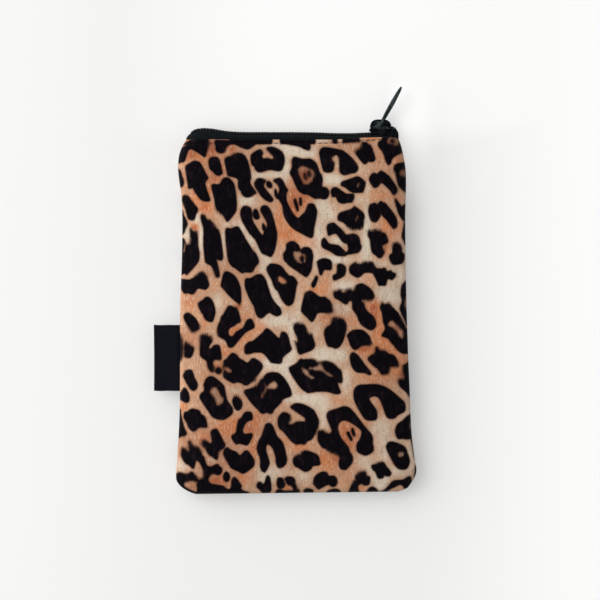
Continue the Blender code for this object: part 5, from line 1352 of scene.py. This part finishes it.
def coil_stops(first):
    """Evenly spaced places on the zip line, with the direction along it."""
    at = np.arange(first, travelled[-1] - 0.4, COIL_PITCH)
    place = on_line(at)
    along = on_line(at + 0.3) - place
    return place, along / np.linalg.norm(along, axis=1, keepdims=True)


print("coil turns", len(coil_stops(0.4)[0]))

# %% One turn: across from the centre line, up from the tape, along the zip, and the wire's half sizes
TURN = (
    (2.30, 0.06, -0.42, 0.33, 0.36), (2.52, 0.46, -0.12, 0.33, 0.34), (2.25, 0.95, 0.26, 0.34, 0.32),
    (1.55, 1.24, 0.38, 0.40, 0.28), (0.85, 1.27, 0.36, 0.46, 0.28), (0.25, 1.22, 0.30, 0.56, 0.34),
    (-0.02, 0.85, 0.22, 0.60, 0.38), (0.22, 0.42, 0.26, 0.50, 0.34), (0.9, 0.20, 0.44, 0.38, 0.26),
    (1.6, 0.12, 0.62, 0.34, 0.26),
)


def ring_faces(rings, sides, base=0):
    """Faces of a closed tube of rings, with its two ends."""
    faces = []
    for k in range(rings - 1):
        for s in range(sides):
            t = (s + 1) % sides
            a, b = base + k * sides, base + (k + 1) * sides
            faces.append((a + s, a + t, b + t, b + s))
    faces.append(tuple(base + s for s in range(sides)))
    faces.append(tuple(base + (rings - 1) * sides + s for s in range(sides)))
    return faces


print("rings in a turn", len(TURN))


# %% Its copies along the zip
def coil(side, half):
    places, alongs = coil_stops(0.4 if half > 0 else 0.4 + COIL_PITCH / 2)
    sides = 6
    points = []
    tangent = np.gradient(np.array(TURN)[:, :2], axis=0)
    tangent /= np.linalg.norm(tangent, axis=1, keepdims=True)
    for place, along in zip(places, alongs):
        away = np.array((-along[1], along[0]))
        off = HALF_GAP + float(parting(place[0], half))
        for k, (across, up, step, wide, high) in enumerate(TURN):
            out = np.array((-tangent[k, 1], tangent[k, 0]))
            for s in range(sides):
                angle = 2 * math.pi * (s + 0.5) / sides
                a = across + out[0] * high * math.sin(angle)
                u = max(up + out[1] * high * math.sin(angle), -0.12)
                d = step + wide * math.cos(angle)
                xy = place + away * u + along * d
                points.append((xy[0], xy[1], SEAM_Z + half * (off + a)))
    in_a_turn, on_the_left = sides * len(TURN), int(np.count_nonzero(places[:, 0] < CUT))
    groups = [("", 0, len(places))]
    if half > 0:
        groups = [("_left", 0, on_the_left), ("_right", on_the_left, len(places))]
    made = []
    for suffix, low, high in groups:
        faces = [face for k in range(high - low) for face in ring_faces(len(TURN), sides, k * in_a_turn)]
        part = points[low * in_a_turn: high * in_a_turn]
        made.append(mesh_object("zip_coil_" + side + suffix, part, faces, coil_nylon))
        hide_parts("zip_coil_" + side)
    return made


coils = {"front": coil("front", 1), "back": coil("back", -1)}
print("coil pieces", [o.name for pieces in coils.values() for o in pieces])

# %% [markdown]
# ## Threads and cords
# A filler cord runs through each coil, a thread holds each coil to its tape, and a line of stitches
# holds each fold. A curve with a bevel would do for the cords. Rings of points are as short to write,
# and they let a thread grow thin where it dives into the cloth.

# %% Round cords along a line
def tube(name, path, radius, material, sides=6):
    path = np.asarray(path, float)
    tangent = np.gradient(path, axis=0)
    tangent /= np.linalg.norm(tangent, axis=1, keepdims=True)
    across = np.cross(tangent, (0.0, 0.0, 1.0))
    across /= np.linalg.norm(across, axis=1, keepdims=True)
    high = np.cross(across, tangent)
    size = np.broadcast_to(radius, (len(path),))
    angles = 2 * math.pi * np.arange(sides) / sides
    ring = across[:, None] * np.cos(angles)[None, :, None] + high[:, None] * np.sin(angles)[None, :, None]
    points = (path[:, None] + ring * size[:, None, None]).reshape(-1, 3)
    return mesh_object(name, points, ring_faces(len(path), sides), material)


def coil_line(half, across, up, step=0.4):
    place = on_line(np.arange(0.3, travelled[-1] - 0.3, step))
    along = np.gradient(place, axis=0)
    along /= np.linalg.norm(along, axis=1, keepdims=True)
    away = np.stack([-along[:, 1], along[:, 0]], -1)
    z = SEAM_Z + half * (HALF_GAP + parting(place[:, 0], half) + across)
    return np.column_stack([place + away * up, z])


def cut_path(path):
    return path[path[:, 0] <= CUT + 0.2], path[path[:, 0] >= CUT - 0.2]


cords = {"front": [], "back": []}
for side, half in (("front", 1), ("back", -1)):
    for name, across, up, radius, material in (
        ("coil_cord_", 1.15, 0.62, 0.5, cord_cloth), ("coil_stitch_", 2.62, 0.2, 0.16, thread),
    ):
        path = coil_line(half, across, up)
        pieces = [("", path)] if half < 0 else zip(("_left", "_right"), cut_path(path))
        for suffix, part in pieces:
            cords[side].append(tube(name + side + suffix, part, radius, material))
            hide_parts(name + side)
print("cords", [o.name for pieces in cords.values() for o in pieces])

# %% Topstitching: separate stitches that sink into the cloth at their ends
def stitches(name, half, low_x, high_x):
    outer = Surface(half, 0.0, 0.0)
    points, faces = [], []
    pitch, sides, steps = 2.9, 6, 7
    for start in np.arange(low_x, high_x - pitch, pitch):
        base = len(points)
        for k in range(steps):
            t = k / (steps - 1)
            x = start + 0.15 + (pitch - 0.3) * t
            y = float(stitch_y(x))
            z = float(outer.z(np.array(x), np.array(y))) + half * (-0.42 + 0.06 - 0.3 * (2 * t - 1) ** 4)
            radius = 0.2 * (1 - 0.35 * (2 * t - 1) ** 6)
            for s in range(sides):
                angle = 2 * math.pi * s / sides
                points.append((x, y + radius * math.cos(angle), z + radius * math.sin(angle)))
        faces += ring_faces(steps, sides, base)
    return mesh_object(name, points, faces, thread)


topstitch = [stitches("topstitch_front_left", 1, -47.5, CUT), stitches("topstitch_front_right", 1, CUT, 46.5)]
for obj in topstitch:
    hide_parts("topstitch_front")
topstitch_back = stitches("topstitch_back", -1, -47.5, 46.5)
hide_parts("topstitch_back")
print("stitches", sum(len(o.data.polygons) for o in topstitch))

# %% [markdown]
# ## Seam threads
# A lockstitch holds the two walls together. One thread runs round the printed cloth and one round the
# lining. It lies inside the seam, so one line of rings, pinched a little where it enters the cloth,
# stands for the thread, and no loops are knotted.

# %% Threads round the seams
def seam_path(inset, top):
    """Down the left seam, along the bottom and up the right seam, evenly spaced."""
    (left_y, left_x), (right_y, right_x) = inset_edges(inset)
    left, right = left_y <= top, right_y <= top
    corners = np.concatenate([
        np.stack([left_x[left], left_y[left]], -1)[::-1], np.stack([right_x[right], right_y[right]], -1)])
    gone = run_length(corners)
    at = np.arange(0, gone[-1], 0.45)
    return np.stack([np.interp(at, gone, corners[:, 0]), np.interp(at, gone, corners[:, 1])], -1), at


seam_threads = []
for name, inset, top in (("outer_seam_thread", 1.45, 84.0), ("lining_seam_thread", 4.3, 80.0)):
    path, at = seam_path(inset, top)
    beat = np.cos(math.pi * at / 2.7)
    path = np.column_stack([path, SEAM_Z + 0.03 * beat])
    seam_threads.append(tube(name + "_sewn", path, 0.12 * (1 - 0.35 * beat**6), thread))
    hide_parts(name)
print("seam threads", [len(o.data.vertices) for o in seam_threads])

# %% [markdown]
# ## Label tab
# A satin ribbon is folded in two, and its cut ends are caught in the left seam. It is bare here. A
# plane with a thickness would have a sharp fold, so the ribbon's edge is drawn as one line round its
# bend, and its two faces are set off from that line and waved a little.

# %% Folded ribbon
TAB_SIDES, TAB_TIP, TAB_ROOT = (-36.8, -4.6), -68.1, -55.35
PLY, PLY_GAP = 0.35, 0.1
bend_radius = PLY_GAP + PLY / 2
bend_x = TAB_TIP + PLY_GAP + PLY
runs = np.linspace(0, 1, 22)
to_tip = TAB_ROOT + (bend_x - TAB_ROOT) * runs
x = np.concatenate([to_tip, np.full(7, bend_x), bend_x + (TAB_ROOT - bend_x) * runs])
turn = np.concatenate([np.full(22, 0.0), np.linspace(0, math.pi, 9)[1:-1], np.full(22, math.pi)])
pinch = np.interp(x, (TAB_ROOT - 1.6, TAB_ROOT), (1.0, 0.3))
ribbon = []
for side in (1, -1):
    radius = (bend_radius + side * PLY / 2) * pinch
    ribbon.append(np.stack([x - radius * np.sin(turn), -radius * np.cos(turn)], -1))
profile = np.concatenate([ribbon[0], ribbon[1][::-1]])
across = np.linspace(0, 1, 40)
y = TAB_SIDES[0] + (TAB_SIDES[1] - TAB_SIDES[0]) * across
out = np.clip((TAB_ROOT - profile[:, 0]) / (TAB_ROOT - TAB_TIP), 0, 1)[:, None]
wavy = 0.16 * out**2 * np.sin(across * 5.1 + 0.6) - 0.1 * out * np.exp(-((across - 0.5) / 0.5) ** 2)
points = np.empty((len(profile), len(across), 3))
points[..., 0] = profile[:, :1] + 0.12 * out * np.sin(across * 3.3 + 0.4)[None, :]
points[..., 1] = y[None, :] + 0.1 * out * np.sin(profile[:, :1] * 0.9)
points[..., 2] = SEAM_Z + profile[:, 1:] + wavy
flat = np.zeros(points.shape)
flat[..., 0], flat[..., 1] = run_length(profile)[:, None], y[None, :]
label_tab = mesh_object("label_ribbon", points.reshape(-1, 3), shell_faces(*points.shape[:2]), label_satin,
                        place=flat.reshape(-1, 3))
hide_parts("label_tab")
print("ribbon", len(label_tab.data.polygons), "faces")

# %% [markdown]
# ## Slider, puller and spring
# The slider and its cap are cast and painted, with rounded edges. Modelling them again would only
# copy the CAD, which has the right shapes, so the solids stay and get bevelled edges and a paint.

# %% Hard pieces
HARD_PIECES = (
    ("slider_body", slider_paint, 0.25), ("slider_crown", slider_paint, 0.35),
    ("puller", puller_paint, 0.4), ("slider_lock_spring", spring_steel, 0.08),
)
for name, material, width in HARD_PIECES:
    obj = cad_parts[name]
    obj.data.materials.clear()
    obj.data.materials.append(material)
    weld = obj.modifiers.new("weld", "WELD")
    weld.merge_threshold = 0.00001
    bevel = obj.modifiers.new("bevel", "BEVEL")
    bevel.width = width * MM
    bevel.segments = 3
    bevel.limit_method = "ANGLE"
    bevel.angle_limit = math.radians(30)
print("painted", [name for name, _, _ in HARD_PIECES])

# %% [markdown]
# ## Cheeks of the cap
# Beside the bar the cap has two raised cheeks. Each starts as a short cylinder whose outline is
# squared off, higher above the hinge than below it. A hole and two slots are cut by booleans, which
# keep the rims crisp, and the floors of the slots get the darker paint as painted shade.

# %% Outline of a cheek
CHEEK_X, HINGE_X, HINGE_Y, CHEEK_Z, CHEEK_THICK = 42.5, 42.15, 92.6, 1.2, 0.36
CHEEK_LONG, CHEEK_HIGH, CHEEK_LOW = 5.2, 3.0, 1.9
SLOTS, SLOT_WIDE, SLOT_DEPTH = ((39.6, 93.15, 2.8, 26), (45.5, 92.7, 3.4, -22)), 0.95, 0.22


def cheek_outline(turn):
    """A rounded arch: nearly square at its foot, and a little narrower towards its top."""
    upper = math.sin(turn) > 0
    across = abs(math.cos(turn)) ** (0.55 if upper else 0.3)
    up = abs(math.sin(turn)) ** (0.75 if upper else 0.45)
    x = math.copysign(across, math.cos(turn)) * CHEEK_LONG
    y = math.copysign(up, math.sin(turn)) * (CHEEK_HIGH if upper else CHEEK_LOW)
    return x * (1 - 0.05 * max(y, 0)), y


print("top of a cheek", round(HINGE_Y + cheek_outline(math.pi / 2)[1], 1))

# %% The two cheeks, cut and painted
for name, z in (("cap_cheek_front", CHEEK_Z), ("cap_cheek_back", -CHEEK_Z)):
    bpy.ops.object.select_all(action="DESELECT")
    bpy.ops.mesh.primitive_cylinder_add(vertices=48, radius=1, depth=CHEEK_THICK * MM)
    cheek = bpy.context.object
    cheek.name = name
    for point in cheek.data.vertices:
        x, y = cheek_outline(math.atan2(point.co.y, point.co.x))
        point.co = ((CHEEK_X + x) * MM, (HINGE_Y + y) * MM, point.co.z + (SEAM_Z + z) * MM)
    hinge = (HINGE_X * MM, HINGE_Y * MM, (SEAM_Z + z) * MM)
    bpy.ops.mesh.primitive_cylinder_add(vertices=24, radius=0.62 * MM, depth=4 * MM, location=hinge)
    drills = [bpy.context.object]
    face_z = SEAM_Z + z * (CHEEK_Z + CHEEK_THICK / 2) / CHEEK_Z
    for x, y, long, tilt in SLOTS:
        bpy.ops.mesh.primitive_cube_add(size=MM, location=(x * MM, y * MM, face_z * MM))
        drills.append(bpy.context.object)
        drills[-1].rotation_euler.z = math.radians(tilt)
        drills[-1].scale = (long, SLOT_WIDE, 2 * SLOT_DEPTH)
    bpy.context.view_layer.update()
    for drill in drills:
        cut = cheek.modifiers.new("cut", "BOOLEAN")
        cut.operation = "DIFFERENCE"
        cut.solver = "EXACT"
        cut.object = drill
        bpy.context.view_layer.objects.active = cheek
        bpy.ops.object.modifier_apply(modifier="cut")
        bpy.data.objects.remove(drill, do_unlink=True)
    cheek.data.materials.clear()
    cheek.data.materials.append(cap_paint)
    cheek.data.materials.append(slider_paint)
    # Painted shade: faces sunk in the slots take the darker slider paint.
    for face in cheek.data.polygons:
        deep = abs(face.center.z / MM - face_z)
        face.material_index = 1 if 0.01 < deep < SLOT_DEPTH + 0.01 else 0
    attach(cheek, "slider")
    print(name, len(cheek.data.polygons), "faces")

# %% [markdown]
# ## Which piece moves with what
# Cloth can't swing like a lid. Beside the closed end the front stays sewn to the back, and towards
# the cut it follows the opening mouth. The front pieces keep their baked places and join no body; the
# back pieces go with the root and the ribbon with the tab.

# %% Bodies
front_pieces = outer_front + inner_layers["padding_front"] + inner_layers["lining_front"] + tapes["front"]
for obj in front_pieces + coils["front"] + topstitch + cords["front"]:
    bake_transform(obj)
back_pieces = outer_back + inner_layers["padding_back"] + inner_layers["lining_back"] + tapes["back"]
for obj in back_pieces + coils["back"] + [topstitch_back] + cords["back"] + seam_threads:
    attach(obj, "root")
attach(label_tab, "tab")
print("bending", len(front_pieces), "sheets, still", len(back_pieces))

# %% [markdown]
# ## Table, light and camera
# The pouch lies on a plain pale table. Daylight comes softly from the upper left, so a faint shadow
# lies to the right and below. More light would burn the table out, so its paleness is in its colour,
# with a faint glow that only the camera sees. The glow is also painted light, stronger to the right,
# above the mouth, to the left and beside the puller. The camera looks straight down from far away.

# %% Floor
floor_paint = bpy.data.materials.new("floor")
floor_paint.use_nodes = True
tree = floor_paint.node_tree
shader = tree.nodes["Principled BSDF"]
shader.inputs["Base Color"].default_value = shade(242, 242, 241)
shader.inputs["Roughness"].default_value = 0.9
shader.inputs["Specular IOR Level"].default_value = 0.1
place = node(tree, "ShaderNodeSeparateXYZ", Vector=node(tree, "ShaderNodeTexCoord").outputs["Object"]).outputs
x, y = place["X"], place["Y"]
# Painted light: the glow grows to the right, above the mouth, to the left, and beside the puller, where it
# lightens the puller's shadow.
to_right = ramp(tree, x, 0.05, 0.15, 0.0, 0.38)
to_top = maths(tree, "MULTIPLY", ramp(tree, y, 0.075, 0.097), ramp(tree, x, -0.12, 0.0, 0.0, 0.32))
to_left = ramp(tree, x, -0.15, -0.05, 0.15, 0.0)
beside = maths(tree, "MULTIPLY", ramp(tree, x, 0.044, 0.054), ramp(tree, x, 0.054, 0.073, 1.0, 0.0))
at_mouth = maths(tree, "MULTIPLY", ramp(tree, y, 0.045, 0.08), ramp(tree, y, 0.103, 0.118, 1.0, 0.0))
painted_light_by_puller = maths(tree, "MULTIPLY_ADD", maths(tree, "MULTIPLY", beside, at_mouth), 0.65, 1.0)
sides = maths(tree, "MAXIMUM", to_left, maths(tree, "MAXIMUM", to_right, to_top))
brighter = maths(tree, "ADD", sides, painted_light_by_puller)
glow = node(tree, "ShaderNodeEmission", Color=shade(248, 248, 247), Strength=brighter)
seen = node(tree, "ShaderNodeLightPath").outputs
mirrored = maths(tree, "MAXIMUM", seen["Is Glossy Ray"], seen["Is Transmission Ray"])
direct = maths(tree, "MAXIMUM", seen["Is Camera Ray"], mirrored)
blended = tree.nodes.new("ShaderNodeMixShader")
tree.links.new(maths(tree, "MULTIPLY", direct, 0.32), blended.inputs[0])
tree.links.new(shader.outputs[0], blended.inputs[1])
tree.links.new(glow.outputs[0], blended.inputs[2])
tree.links.new(blended.outputs[0], tree.nodes["Material Output"].inputs["Surface"])
bpy.ops.mesh.primitive_plane_add(size=4, location=(0, 0, 0))
floor = bpy.context.object
floor.name = "floor"
floor.data.materials.append(floor_paint)
print("floor", len(tree.nodes), "nodes")

# %% Lights: a sky that is brighter towards a window on the left, and a soft lamp there
WINDOW, SKY_EVEN, SKY_WINDOW = (-0.88, 0.36, 0.3), 0.38, 1.95
world = bpy.data.worlds.new("world")
bpy.context.scene.world = world
world.use_nodes = True
sky = world.node_tree
away = node(sky, "ShaderNodeTexCoord").outputs["Generated"]
towards = node(sky, "ShaderNodeVectorMath", {"operation": "DOT_PRODUCT"}, i0=away, i1=WINDOW).outputs["Value"]
bright = maths(sky, "POWER", maths(sky, "MAXIMUM", towards, 0.0), 2.0)
sky.nodes["Background"].inputs["Color"].default_value = (1, 1, 1, 1)
strength = maths(sky, "MULTIPLY_ADD", bright, SKY_WINDOW, SKY_EVEN)
sky.links.new(strength, sky.nodes["Background"].inputs["Strength"])
key_data = bpy.data.lights.new("key", "AREA")
key_data.shape = "DISK"
key_data.size = 2.0
key_data.energy = 12.5
key = bpy.data.objects.new("key", key_data)
bpy.context.scene.collection.objects.link(key)
key.location = (-1.3, 0.52, 0.62)
key.rotation_euler = (-key.location).to_track_quat("-Z", "Y").to_euler()
print("key lamp", key_data.energy, "W")

# %% Camera
camera_data = bpy.data.cameras.new("camera")
camera = bpy.data.objects.new("camera", camera_data)
bpy.context.scene.collection.objects.link(camera)
distance = CAMERA_HEIGHT * MM
camera.location = (VIEW_X * MM, VIEW_Y * MM, SEAM_Z * MM + distance)
camera_data.sensor_width = 36.0
camera_data.lens = 36.0 * distance / 0.29268
camera_data.clip_end = 10
bpy.context.scene.camera = camera
bpy.context.scene.view_settings.view_transform = "Standard"
print("lens", round(camera_data.lens, 1))

# %% [markdown]
# ## What is cloth and what is padding
# Every sheet is listed with the size it was cut to, opened out flat, its area, how it is held and
# what it rests on. The front layers are in two parts that meet on the cut, so each part has its own
# share. Only the names and the flat sizes are printed.

# %% The sheets and their cuts
pads = [o.name for o in inner_layers["padding_front"] + inner_layers["padding_back"]]
panels = [o.name for o in outer_front + outer_back]
CUTS = (
    (outer_front[0], (0.070, 0.182), 0.0122, "stretched", pads),
    (outer_front[1], (0.048, 0.182), 0.0083, "stretched", pads),
    (outer_back[0], (0.118, 0.182), 0.0204, "stretched", pads),
    (inner_layers["lining_front"][0], (0.066, 0.172), 0.0105, "stretched", pads),
    (inner_layers["lining_front"][1], (0.043, 0.172), 0.0068, "stretched", pads),
    (inner_layers["lining_back"][0], (0.108, 0.172), 0.01725, "stretched", pads),
    (tapes["front"][0], (0.0138, 0.0638), 0.00087, "folded", panels),
    (tapes["front"][1], (0.0138, 0.0398), 0.000545, "folded", panels),
    (tapes["back"][0], (0.0132, 0.1035), 0.00135, "folded", panels),
    (label_tab, (0.0322, 0.0258), 0.00082, "folded", panels),
)
for piece, flat, area, held, rests_on in CUTS:
    print(piece.name, "cut from", flat)
